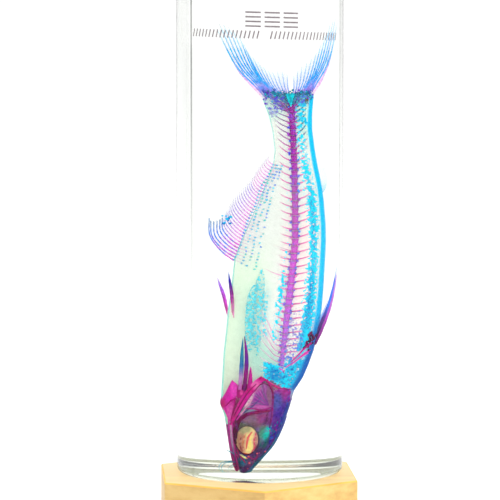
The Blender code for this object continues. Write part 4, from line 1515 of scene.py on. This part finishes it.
def make_skull(materials):
    shape = Shape()
    rings = []
    for s in np.linspace(1.6, 36.0, 90):
        belly, back, half = outline_at(s, SKULL_SECTIONS)
        angles = np.linspace(0, 2 * math.pi, 48, endpoint=False)
        x = (belly + back) / 2 + (back - belly) / 2 * np.cos(angles)
        y = half * np.sin(angles)
        rings.append(np.stack([x, y, np.full(48, s)], axis=1))
    x, _, s = np.concatenate(rings).T
    shape.rings(rings, **tint_values(skull_tint(x, s)), cover=0.97 - 0.25 * fade(s, 30.0, 35.0))
    for side in (-1.0, 1.0):
        add_skull_lines(shape, side)
        add_skull_spots(shape, side)
    # the blue-green outline of the snout and the top of the head
    edge = [(-5.4, 2.5), (-4.6, 1.8), *[(back, s) for s, _, back, _ in SKULL_SECTIONS[1:9]]]
    path = smooth_path(edge, 60)
    t = even(60)
    stops = [(0.0, rgb(0, 120, 150)), (0.3, rgb(0, 150, 180)), (0.6, rgb(10, 110, 170)),
             (1.0, rgb(60, 70, 170))]
    tube(shape, at_y(path, 0.0), 0.30 - 0.12 * t, 9, tint=gradient(t, stops), cover=1.0)
    dome_left = smooth_path(((-5.8, 18.4), (-5.2, 20.4), (-3.6, 22.6)), 12)
    dome_right = smooth_path(((2.6, 18.4), (2.9, 21.0), (2.9, 23.8)), 12)
    zones = (
        (-2.4, 20.6, 2.2, 1.6, 30.0, 0.9, rgb(144, 116, 136)),
        (0.8, 21.6, 1.6, 1.6, 0.0, 0.9, rgb(160, 84, 142)),
        (-5.0, 18.6, 1.4, 1.6, 0.0, 0.9, rgb(122, 130, 112)),
        (2.2, 20.0, 1.0, 2.4, 0.0, 0.9, rgb(120, 50, 120)),
    )
    for side in (-1.0, 1.0):
        head_plate(shape, dome_left, dome_right, side, (0.35, 0.0), 22, 0.4, rgb(156, 98, 144), zones,
                   lambda x, s: 0.94 * fade(s, 18.3, 20.6) * fade(x, 2.9, 1.7))
    shape.fish_part("skull_bones", materials, "skull", "skull_bone")


def make_gill_covers(materials):
    for name, side in SIDES:
        shape = Shape()
        left = smooth_path(((-6.2, 22.4), (-5.0, 25.0), (-3.2, 28.4), (-1.2, 31.4), (0.8, 33.6)), 26)
        right = smooth_path(((2.6, 24.0), (3.5, 26.0), (3.7, 29.6), (2.9, 32.2), (1.4, 33.7)), 26)
        zones = (
            # the first zone is a painted highlight: a pale pink strip along the cover's belly-side edge
            (-3.6, 27.2, 1.0, 5.6, -28.0, 0.8, rgb(228, 200, 214)),
            (-1.0, 31.6, 1.4, 1.6, -30.0, 0.8, rgb(206, 130, 180)),
            (-0.6, 28.6, 1.4, 3.0, -20.0, 0.9, rgb(160, 70, 170)),
            (1.4, 29.4, 0.9, 3.4, 0.0, 0.9, rgb(166, 90, 166)),
            (2.6, 29.0, 0.7, 3.4, 0.0, 0.8, rgb(150, 110, 140)),
            (-3.4, 24.4, 2.4, 1.1, 0.0, 0.8, rgb(150, 160, 180)),
            (0.4, 25.6, 2.6, 0.9, 0.0, 0.9, rgb(196, 110, 180)),
        )
        head_plate(shape, left, right, side, (0.55, 0.0), 26, 0.35, rgb(158, 104, 160), zones, 0.94)
        for k in range(9):
            turn = math.radians(100 + 9.5 * k)
            reach = 8.2 - 0.25 * k
            start = np.array((2.6, 26.0))
            end = start + np.array((math.cos(turn) * reach * 0.86, math.sin(turn) * reach))
            if k > 5:
                end = start + np.array((math.cos(turn) * reach, math.sin(turn) * reach * 0.9))
            middle = (start + end) / 2 + np.array((-0.25, 0.15))
            colour = (rgb(150, 60, 160), rgb(96, 90, 150), rgb(170, 60, 170))[k % 3]
            line_on_skin(shape, (start, middle, end), 0.15,
                         [(0.0, colour), (1.0, colour * 0.6 + PALE_PINK * 0.4)], side,
                         0.6, count=18, cover=0.85)
        border = ((-6.4, 22.0), (-5.2, 24.8), (-3.4, 28.4), (-1.4, 31.5), (0.8, 34.0), (2.6, 33.0))
        line_on_skin(shape, border, 0.22,
                     [(0.0, rgb(120, 60, 140)), (0.5, rgb(190, 60, 160)), (1.0, rgb(140, 20, 100))],
                     side, 0.62)
        line_on_skin(shape, ((-5.6, 22.6), (-3.6, 24.4), (-1.4, 26.6), (0.4, 29.2)), 0.16,
                     [(0.0, rgb(70, 80, 140)), (1.0, rgb(110, 90, 160))], side, 0.66)
        shape.fish_part("gill_cover_fanned_" + name, materials, "gill_cover_" + name, "skull_bone")


def make_eyes():
    iris = stained("eye_iris", 1500.0, 0.8, 1.12, second=rgb(222, 176, 142), second_share=0.5)
    for name, side in SIDES:
        shape = Shape()
        rings = []
        for row in range(1, 24):
            lift = math.pi * row / 24
            ring = []
            for k in range(36):
                angle = 2 * math.pi * k / 36
                x = EYE_X + EYE_HALF_WIDE * math.sin(lift) * math.cos(angle)
                s = EYE_S - EYE_HALF_HIGH * math.cos(lift)
                wall = skin(x, s, EYE_SINK)
                ring.append((x, side * (wall + EYE_BULGE * math.sin(lift) * math.sin(angle)), s))
            rings.append(ring)
        x, _, s = np.concatenate(rings).T
        tint = paint(x, s, rgb(224, 208, 168), (
            (-5.4, 13.4, 1.2, 4.4, 0.0, 0.9, rgb(186, 142, 124)),
            (-2.6, 15.9, 1.6, 1.8, 0.0, 0.8, rgb(230, 212, 160)),
            (-4.4, 17.4, 2.0, 1.6, 20.0, 0.9, rgb(176, 172, 140)),
            (-0.9, 13.6, 0.9, 3.8, 0.0, 0.9, rgb(190, 146, 142)),
            (-3.1, 11.2, 1.2, 2.0, 0.0, 0.8, rgb(236, 226, 166)),
            (-5.0, 10.2, 0.8, 1.0, 0.0, 0.8, rgb(170, 110, 110)),
            (-0.9, 10.4, 0.8, 1.4, 0.0, 0.9, rgb(160, 90, 110)),
        ))
        shape.rings(rings, **tint_values(tint))
        for points, width, colour in (
            (((-2.2, 16.6), (-3.3, 14.8), (-3.7, 12.6), (-3.9, 10.4)), 0.34, rgb(222, 120, 120)),
            (((-1.1, 16.2), (-1.7, 13.4), (-1.6, 11.0), (-2.4, 9.2)), 0.3, rgb(206, 100, 130)),
            (((-4.0, 16.2), (-4.7, 13.8), (-4.9, 11.6)), 0.22, rgb(206, 140, 110)),
            (((-2.6, 15.0), (-2.8, 12.8), (-2.9, 10.4)), 0.22, rgb(240, 226, 150)),
            (((-5.4, 14.6), (-5.7, 12.4), (-5.4, 10.2)), 0.2, rgb(150, 60, 90)),
            (((-4.6, 9.0), (-3.4, 8.7), (-2.2, 9.0)), 0.2, rgb(226, 110, 90)),
        ):
            path = smooth_path(points, 18)
            t = even(18)
            away = ((path[:, 0] - EYE_X) / EYE_HALF_WIDE) ** 2 + ((path[:, 1] - EYE_S) / EYE_HALF_HIGH) ** 2
            front = EYE_BULGE * np.sqrt(np.clip(1 - away, 0.0, 1.0))
            y = side * (skin(path[:, 0], path[:, 1], EYE_SINK) + front + 0.02)
            tube(shape, at_y(path, y), width * (1 - 0.5 * np.abs(2 * t - 1) ** 2), 8, 0.5, tint=colour)
        shape.fish_part("eye_ball_" + name, [iris], "eye_" + name, "eye")


def make_girdle(materials):
    shape = Shape()
    for side in (-1.0, 1.0):
        left = smooth_path(((-8.6, 20.0), (-9.7, 23.4), (-10.7, 26.8), (-9.6, 30.6), (-7.9, 35.0)), 24)
        right = smooth_path(((-7.9, 20.6), (-7.6, 24.0), (-7.0, 27.6), (-6.4, 31.0), (-6.4, 33.4)), 24)
        zones = (
            (-8.8, 28.6, 1.0, 4.4, -12.0, 0.9, rgb(212, 40, 176)),
            (-7.4, 31.6, 1.0, 2.8, 0.0, 0.9, rgb(226, 90, 196)),
            (-8.4, 23.6, 1.0, 3.0, 0.0, 0.9, rgb(212, 100, 180)),
            (-10.2, 26.6, 0.5, 1.6, 0.0, 0.8, rgb(190, 20, 130)),
        )
        head_plate(shape, left, right, side, (0.35, 0.5), 12, 0.5, rgb(206, 34, 166), zones, 0.97)
        left = smooth_path(((-8.6, 19.0), (-7.4, 23.6), (-5.8, 28.0), (-3.6, 32.2), (-1.6, 34.8),
                            (0.4, 36.6)), 30)
        right = smooth_path(((-8.1, 18.8), (-6.4, 22.6), (-4.4, 26.8), (-2.4, 30.4), (-0.6, 33.0),
                             (1.6, 35.2)), 30)
        zones = (
            (-1.4, 33.4, 1.6, 1.3, 40.0, 0.8, rgb(226, 120, 184)),
            (-3.0, 31.4, 0.9, 1.6, -30.0, 0.9, rgb(200, 30, 140)),
            (-6.4, 25.6, 0.9, 3.0, -30.0, 0.9, rgb(206, 36, 156)),
            (-7.7, 21.4, 0.6, 2.2, -20.0, 0.8, rgb(190, 40, 140)),
            (0.6, 35.8, 1.0, 0.8, 0.0, 0.8, rgb(190, 24, 130)),
        )
        head_plate(shape, left, right, side, (0.75, 0.4), 10, 0.5, rgb(204, 40, 160), zones, 0.98)
        left = smooth_path(((-6.6, 28.4), (-6.7, 31.0), (-6.3, 33.4)), 14)
        right = smooth_path(((-4.2, 29.0), (-3.6, 31.0), (-3.0, 33.8)), 14)
        zones = (
            (-5.4, 30.6, 0.5, 0.9, 0.0, 0.8, rgb(226, 90, 176)),
            (-3.8, 32.4, 0.7, 1.4, 0.0, 0.8, rgb(150, 6, 116)),
        )
        head_plate(shape, left, right, side, (0.6, 0.45), 10, 0.4, rgb(172, 0, 130), zones, 0.97)
        for points, width, colour in (
            (((-8.4, 19.0), (-8.0, 22.6), (-7.4, 26.4), (-6.8, 29.4)), 0.2, rgb(170, 14, 130)),
            (((-9.9, 25.4), (-8.6, 27.4), (-7.0, 28.6)), 0.22, rgb(176, 20, 136)),
            (((-7.6, 22.0), (-5.6, 26.6), (-3.4, 30.8), (-1.0, 33.8)), 0.2, rgb(150, 6, 116)),
            (((-6.2, 21.6), (-4.2, 25.0), (-2.0, 28.6)), 0.2, rgb(214, 160, 190)),
            (((-6.8, 20.6), (-5.4, 23.2)), 0.24, rgb(196, 60, 170)),
        ):
            line_on_skin(shape, points, width, [(0.0, colour), (1.0, colour)], side, 1.2)
    shape.fish_part("girdle_plates", materials, "pectoral_girdle", "stained_bone")


def jaw_bar(shape, path, side, lift, width, flat, tint):
    """A bar along the jaw; lift is on the skin and off it."""
    y = side * (skin(path[:, 0], path[:, 1], lift[0]) + lift[1])
    tube(shape, at_y(path, y), width, 9, flat, tint=tint, cover=1.0)


def jaw_tint(x, s):
    stops = [(0.0, rgb(120, 50, 130)), (0.5, rgb(172, 146, 180)), (1.0, rgb(200, 160, 196))]
    return gradient(fade(s, 4.0, 20.0), stops)


def make_jaw(materials):
    shape = Shape()
    t = even(30)
    outer = smooth_path(((-8.9, 21.0), (-8.4, 15.0), (-7.8, 9.6), (-7.0, 5.0), (-6.3, 2.4)), 30)
    inner = smooth_path(((-7.9, 20.0), (-7.5, 14.6), (-7.0, 9.4), (-6.4, 5.2), (-6.0, 2.8)), 30)
    hinge = smooth_path(((-7.2, 18.6), (-7.3, 15.4), (-6.9, 12.2)), 16)
    corner = smooth_path(((-7.6, 21.2), (-7.4, 19.6), (-6.9, 18.2)), 16)
    tint = gradient(t, [(0.0, rgb(206, 80, 180)), (0.5, rgb(176, 60, 150)), (1.0, rgb(156, 30, 120))])
    for side in (-1.0, 1.0):
        sheet(shape, outer, inner, lambda x, s, side=side: side * (skin(x, s, 0.1) + 0.5), 6, 0.4,
              jaw_tint, cover=0.9)
        jaw_bar(shape, outer + (0.05, 0.0), side, (0.2, 0.5), 0.24 + 0.14 * t, 0.8, tint)
        jaw_bar(shape, inner, side, (0.2, 0.5), 0.2 + 0.08 * t, 0.8, tint * 0.85)
        jaw_bar(shape, hinge, side, (0.4, 0.0), 0.42, 0.6, rgb(96, 14, 76))
        jaw_bar(shape, corner, side, (0.5, 0.0), 0.55, 0.6, rgb(150, 30, 120))
    shape.fish_part("lower_jaw_bars", materials, "lower_jaw", "stained_bone")


def make_barbels():
    material = stained("barbel_stain", 1400.0, 0.75, 1.2, cover=0.85)
    for name, side in SIDES:
        shape = Shape()
        t = even(40)
        loops = (
            (((-7.0, 5.6), (-8.8, 5.5), (-10.2, 4.9), (-11.0, 3.4), (-10.4, 2.0), (-9.4, 1.6)), 0.17),
            (((-7.2, 8.4), (-8.2, 9.2), (-9.2, 9.8)), 0.15),
            (((-7.0, 4.6), (-8.0, 3.6), (-8.6, 2.4)), 0.1),
        )
        for loop, width in loops:
            path = smooth_path(loop, 40)
            y = side * (3.0 - 0.9 * t)
            tint = gradient(t, [(0.0, rgb(20, 130, 170)), (0.3, rgb(60, 176, 206)),
                                (1.0, rgb(150, 214, 226))])
            tube(shape, at_y(path, y), width * (1 - 0.5 * t), 8, tint=tint, cover=0.9 - 0.5 * t)
        shape.fish_part("barbel_thread_" + name, [material], "barbel_" + name, "fin_ray")


def make_head():
    materials = [stained("skull_stain", 1300.0, 0.62, 1.42, cover=0.92, second=rgb(110, 70, 160),
                         second_share=0.34)]
    bright = [stained("girdle_stain", 1300.0, 0.74, 1.22, cover=0.94)]
    make_skull(materials)
    make_gill_covers(bright)
    make_eyes()
    make_girdle(bright)
    make_jaw(bright)
    make_barbels()


def make_fish():
    make_flesh()
    make_gut()
    make_backbone()
    make_tail()
    make_anal_fin()
    make_dorsal_fin()
    make_fin_shield()
    make_adipose_fin()
    make_paired_fins()
    make_head()


# ---------------------------------------------------------------- plinth, lid, seal rings, label

GRAIN_STRETCH = (0.06, 1.0, 1.0)    # the grain runs along X
PORE_STRETCH = (0.12, 1.0, 1.0)


def wood_material(name, pale=1.0, plain=0.0):
    """Fine-grained timber; pale scales its tones and plain washes them out."""
    made = Nodes(name)
    grain = made.noise(420.0, 5.0, 0.6, GRAIN_STRETCH)
    broad = made.noise(70.0, 3.0, 0.5, GRAIN_STRETCH, 0.3)
    pores = made.noise(2300.0, 2.0, 0.5, PORE_STRETCH, 0.7)
    cloud = made.noise(45.0, 3.0, 0.6, shift=0.9)
    tone = made.math("ADD", made.math("MULTIPLY", grain, 0.5), made.math("MULTIPLY", broad, 0.5))
    colour = made.ramp(tone, [
        (0.36, rgb(206, 162, 90) * pale), (0.48, rgb(226, 184, 108) * pale),
        (0.6, rgb(236, 198, 124) * pale),
    ])
    colour = made.mix(plain, colour, rgb(238, 216, 168))
    colour = made.mix(made.ramp(pores, [(0.62, 0.0), (0.72, 0.35)]), colour, rgb(214, 170, 100))
    stain = made.ramp(cloud, [(0.60, 0.0), (0.72, 0.34)])
    colour = made.mix(stain, colour, rgb(206, 178, 132))
    knots = made.new("ShaderNodeTexVoronoi")
    place = made.new("ShaderNodeTexCoord")
    made.feed(knots.inputs["Vector"], place.outputs["Object"])
    knots.inputs["Scale"].default_value = 95.0
    spot = made.math("ADD", knots.outputs["Distance"], made.math("MULTIPLY", grain, 0.12))
    colour = made.mix(made.ramp(spot, [(0.10, 0.5), (0.16, 0.0)]), colour, rgb(150, 112, 70))
    made.set(Base_Color=colour, Roughness=made.ramp(grain, [(0.3, 0.48), (0.7, 0.66)]))
    made.set(Coat_Weight=0.35, Coat_Roughness=0.4)
    made.bump(tone, 0.12 * MM, 0.4)
    return made.material


def make_plinth():
    bm = bmesh.new()
    turn = math.radians(3.6)
    radius = (PLINTH_HIGH.y - PLINTH_LOW.y) / 2 / math.cos(turn)
    bottom = []
    for k in range(6):
        angle = math.radians(-90 + 60 * k) + turn
        bottom.append(bm.verts.new((radius * math.cos(angle), radius * math.sin(angle), PLINTH_LOW.z)))
    base = bm.faces.new(bottom)
    lifted = bmesh.ops.extrude_face_region(bm, geom=[base])["geom"]
    lifted = [v for v in lifted if isinstance(v, bmesh.types.BMVert)]
    bmesh.ops.translate(bm, verts=lifted, vec=(0.0, 0.0, PLINTH_HIGH.z - PLINTH_LOW.z))
    bmesh.ops.recalc_face_normals(bm, faces=bm.faces)
    bmesh.ops.bevel(bm, geom=list(bm.edges), offset=0.55 * MM, segments=3, affect="EDGES", profile=0.5)
    mesh = bpy.data.meshes.new("plinth_block")
    bm.to_mesh(mesh)
    bm.free()
    face = wood_material("plinth_wood")
    # painted shade: a darker copy of the wood for the faces turned to -X
    darker = wood_material("plinth_wood_painted_shade_side", pale=0.80)
    # painted light: a paler, washed-out copy of the wood for the top
    plainer = wood_material("plinth_wood_painted_light_top", plain=0.35)
    # painted highlight: the bevelled edges take a stronger, more saturated orange than the wood beside them
    arris = Nodes("plinth_arris_painted_highlight")
    mottle = arris.noise(500.0, 4.0, 0.6, (0.2, 0.2, 1.0))
    arris.set(Base_Color=arris.ramp(mottle, [(0.35, rgb(236, 172, 70)), (0.65, rgb(246, 196, 92))]))
    arris.set(Roughness=0.5)
    arris.bump(mottle, 0.1 * MM)
    for made in (face, arris.material, darker, plainer):
        mesh.materials.append(made)
    for polygon in mesh.polygons:
        normal = polygon.normal
        flat = max(abs(normal.z), normal.xy.length)
        small = polygon.area < 60 * MM * MM
        # the small bevelled faces get the painted highlight
        if small and 0.05 < abs(normal.z) < 0.999 and flat < 0.9999:
            polygon.material_index = 1
        # faces turned to -X: the darker copy, as painted shade
        elif normal.x < -0.3:
            polygon.material_index = 2
        # the top: the paler copy, as painted light
        elif normal.z > 0.9:
            polygon.material_index = 3
    mesh.shade_smooth()
    mesh.set_sharp_from_angle(angle=math.radians(25))
    block = add_object("plinth_block", mesh)
    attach(block, "base")
    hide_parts("plinth")


def make_lid():
    wood = wood_material("lid_wood")
    rim = JAR_HIGH.z
    top = LID_HIGH.z
    cap = (LID_HIGH.x - LID_LOW.x) / 2
    plug = 26.9 * MM
    groove = 25.0 * MM
    foot = LID_LOW.z
    ease = 1.6 * MM
    profile = [(0.0, foot), (plug - MM, foot), (plug, foot + MM)]
    for middle in (8.4 * MM, 3.2 * MM):
        low = rim - middle - 1.4 * MM
        high = rim - middle + 1.4 * MM
        profile += [(plug, low), (groove, low), (groove, high), (plug, high)]
    profile += [(plug, rim + 0.3 * MM), (cap - 0.8 * MM, rim + 0.3 * MM), (cap, rim + 1.1 * MM)]
    profile += arc((cap - ease, top - ease), ease, 0, 90, 8)
    profile += [(cap - 6 * MM, top), (cap - 6.4 * MM, top - 0.35 * MM), (cap - 6.8 * MM, top), (0.0, top)]
    shape = turned(profile, JAR_AXIS, 128)
    shape.build("lid_turned", [wood], body="lid", node="lid", slot="lid_wood")
    for name in ("seal_ring_upper", "seal_ring_lower"):
        make_seal(name)


def make_seal(name):
    made = Nodes("silicone_" + name)
    dust = made.noise(900.0, 4.0, 0.6)
    made.set(Base_Color=made.ramp(dust, [(0.35, rgb(226, 228, 222)), (0.65, rgb(242, 243, 238))]))
    made.set(Roughness=made.ramp(dust, [(0.3, 0.28), (0.7, 0.46)]))
    made.set(Subsurface_Weight=0.2, Subsurface_Scale=MM)
    made.bump(dust, 0.05 * MM)
    low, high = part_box(name)
    centre = (low.z + high.z) / 2
    inner = 25.3 * MM
    outer = JAR_BORE - 0.3 * MM
    half = (high.z - low.z) / 2
    lip = 0.7 * MM
    profile = [(inner, centre - half), (outer - lip, centre - half)]
    profile += arc((outer - lip, centre - half + lip), lip, -90, 0, 5)[1:]
    profile += arc((outer - lip, centre + half - lip), lip, 0, 90, 5)
    profile.append((inner, centre + half))
    shape = turned(profile, JAR_AXIS, 128)
    shape.build(name + "_soft", [made.material], body="lid", node=name, slot="seal")


LABEL_TILT = math.radians(1.6)


def on_label(across, up, lift):
    """A point on the label, from its middle line: across round the jar and up, both in metres."""
    radius = JAR_RADIUS + lift
    tilted = up - across * math.tan(LABEL_TILT)
    angle = -math.pi / 2 + across / radius
    return (JAR_AXIS.x + radius * math.cos(angle), JAR_AXIS.y + radius * math.sin(angle), tilted)


def stroke(shape, start, end, width):
    """A printed mark: a thin bar on the label from one (across, up) point to the other."""
    start, end = np.array(start, float), np.array(end, float)
    run = end - start
    side = np.array((-run[1], run[0])) / (np.linalg.norm(run) + 1e-9) * width / 2
    rings = []
    for t in even(5):
        middle = start + run * t
        ring = []
        for share, lift in ((1, 0.52), (1, 0.57), (-1, 0.57), (-1, 0.52)):
            across, up = middle + side * share
            ring.append(on_label(across, up, lift * MM))
        rings.append(ring)
    shape.rings(rings, 1)


def make_label():
    """A clear film with two rows of plain marks, which stand for print and spell nothing."""
    film = Nodes("label_film_clear")
    haze = film.noise(220.0, 4.0, 0.6)
    film.set(Base_Color=(0.97, 0.97, 0.965), IOR=1.46,
             Roughness=film.ramp(haze, [(0.35, 0.06), (0.7, 0.22)]))
    film.set(Alpha=film.ramp(haze, [(0.35, 0.05), (0.7, 0.10)]))
    ink = Nodes("label_ink")
    mottle = ink.noise(1300.0, 4.0, 0.65)
    ink.set(Base_Color=ink.ramp(mottle, [(0.35, rgb(110, 98, 104)), (0.7, rgb(150, 140, 144))]),
            Roughness=0.6)
    ink.set(Alpha=ink.ramp(mottle, [(0.3, 1.0), (0.75, 0.8)]))
    edge = Nodes("label_edge")
    lint = edge.noise(700.0, 3.0, 0.6)
    edge.set(Base_Color=edge.ramp(lint, [(0.35, rgb(206, 206, 200)), (0.65, rgb(232, 232, 226))]),
             Roughness=0.4)
    edge.set(Alpha=edge.ramp(lint, [(0.3, 0.35), (0.7, 0.6)]))
    shape = Shape()
    low, high = LABEL_LOW.z, LABEL_HIGH.z
    half = math.radians(66.0) * JAR_RADIUS
    slope = half * math.tan(LABEL_TILT)
    rings = []
    for across in np.linspace(-half, half, 81):
        ring = []
        for up, lift in ((low + slope, 0.3), (low + slope, 0.5), (high - slope, 0.5), (high - slope, 0.3)):
            ring.append(on_label(across, up, lift * MM))
        rings.append(ring)
    count = len(rings[0])
    shape.rings(rings)
    for k in range(len(shape.faces)):
        if k % count in (0, 2) or k >= count * (len(rings) - 1):
            shape.slots[k] = 2
    make_marks(shape)
    shape.build("label_film_printed", [film.material, ink.material, edge.material], node="label_film",
                slot="label")


MARK_ROW_HIGH = 163.4 * MM          # above the jar's underside
MARK_ROW_LOW = 156.9 * MM
BLOCK_MIDDLE = 4.9 * MM             # the three blocks: middle, pitch, width, and their bars
BLOCK_PITCH = 6.7 * MM
BLOCK_WIDE = 5.4 * MM
BAR_PITCH = 1.6 * MM
BAR_THICK = 0.55 * MM
HATCH_RUNS = ((-26.6, 1.6), (3.6, 33.8))
HATCH_PITCH = 1.5 * MM
HATCH_TALL = 2.5 * MM
HATCH_THICK = 0.45 * MM
HATCH_SLANT = 0.28


def make_marks(shape):
    """A row of three barred blocks over a row of slanted hatching."""
    for k in range(3):
        left = BLOCK_MIDDLE + (k - 1.5) * BLOCK_PITCH
        for row in range(4):
            height = JAR_LOW.z + MARK_ROW_HIGH - 2.4 * MM + row * BAR_PITCH
            stroke(shape, (left, height), (left + BLOCK_WIDE, height), BAR_THICK)
    up = JAR_LOW.z + MARK_ROW_LOW
    for start, end in HATCH_RUNS:
        for k in range(int((end - start) * MM / HATCH_PITCH)):
            across = start * MM + k * HATCH_PITCH
            top = (across + HATCH_SLANT * HATCH_TALL, up + HATCH_TALL)
            stroke(shape, (across, up - 0.2 * MM), top, HATCH_THICK)


make_stage()
make_jar()
make_fluid()
make_foot_painted_shade()
make_plinth()
make_label()
make_lid()
make_fish()
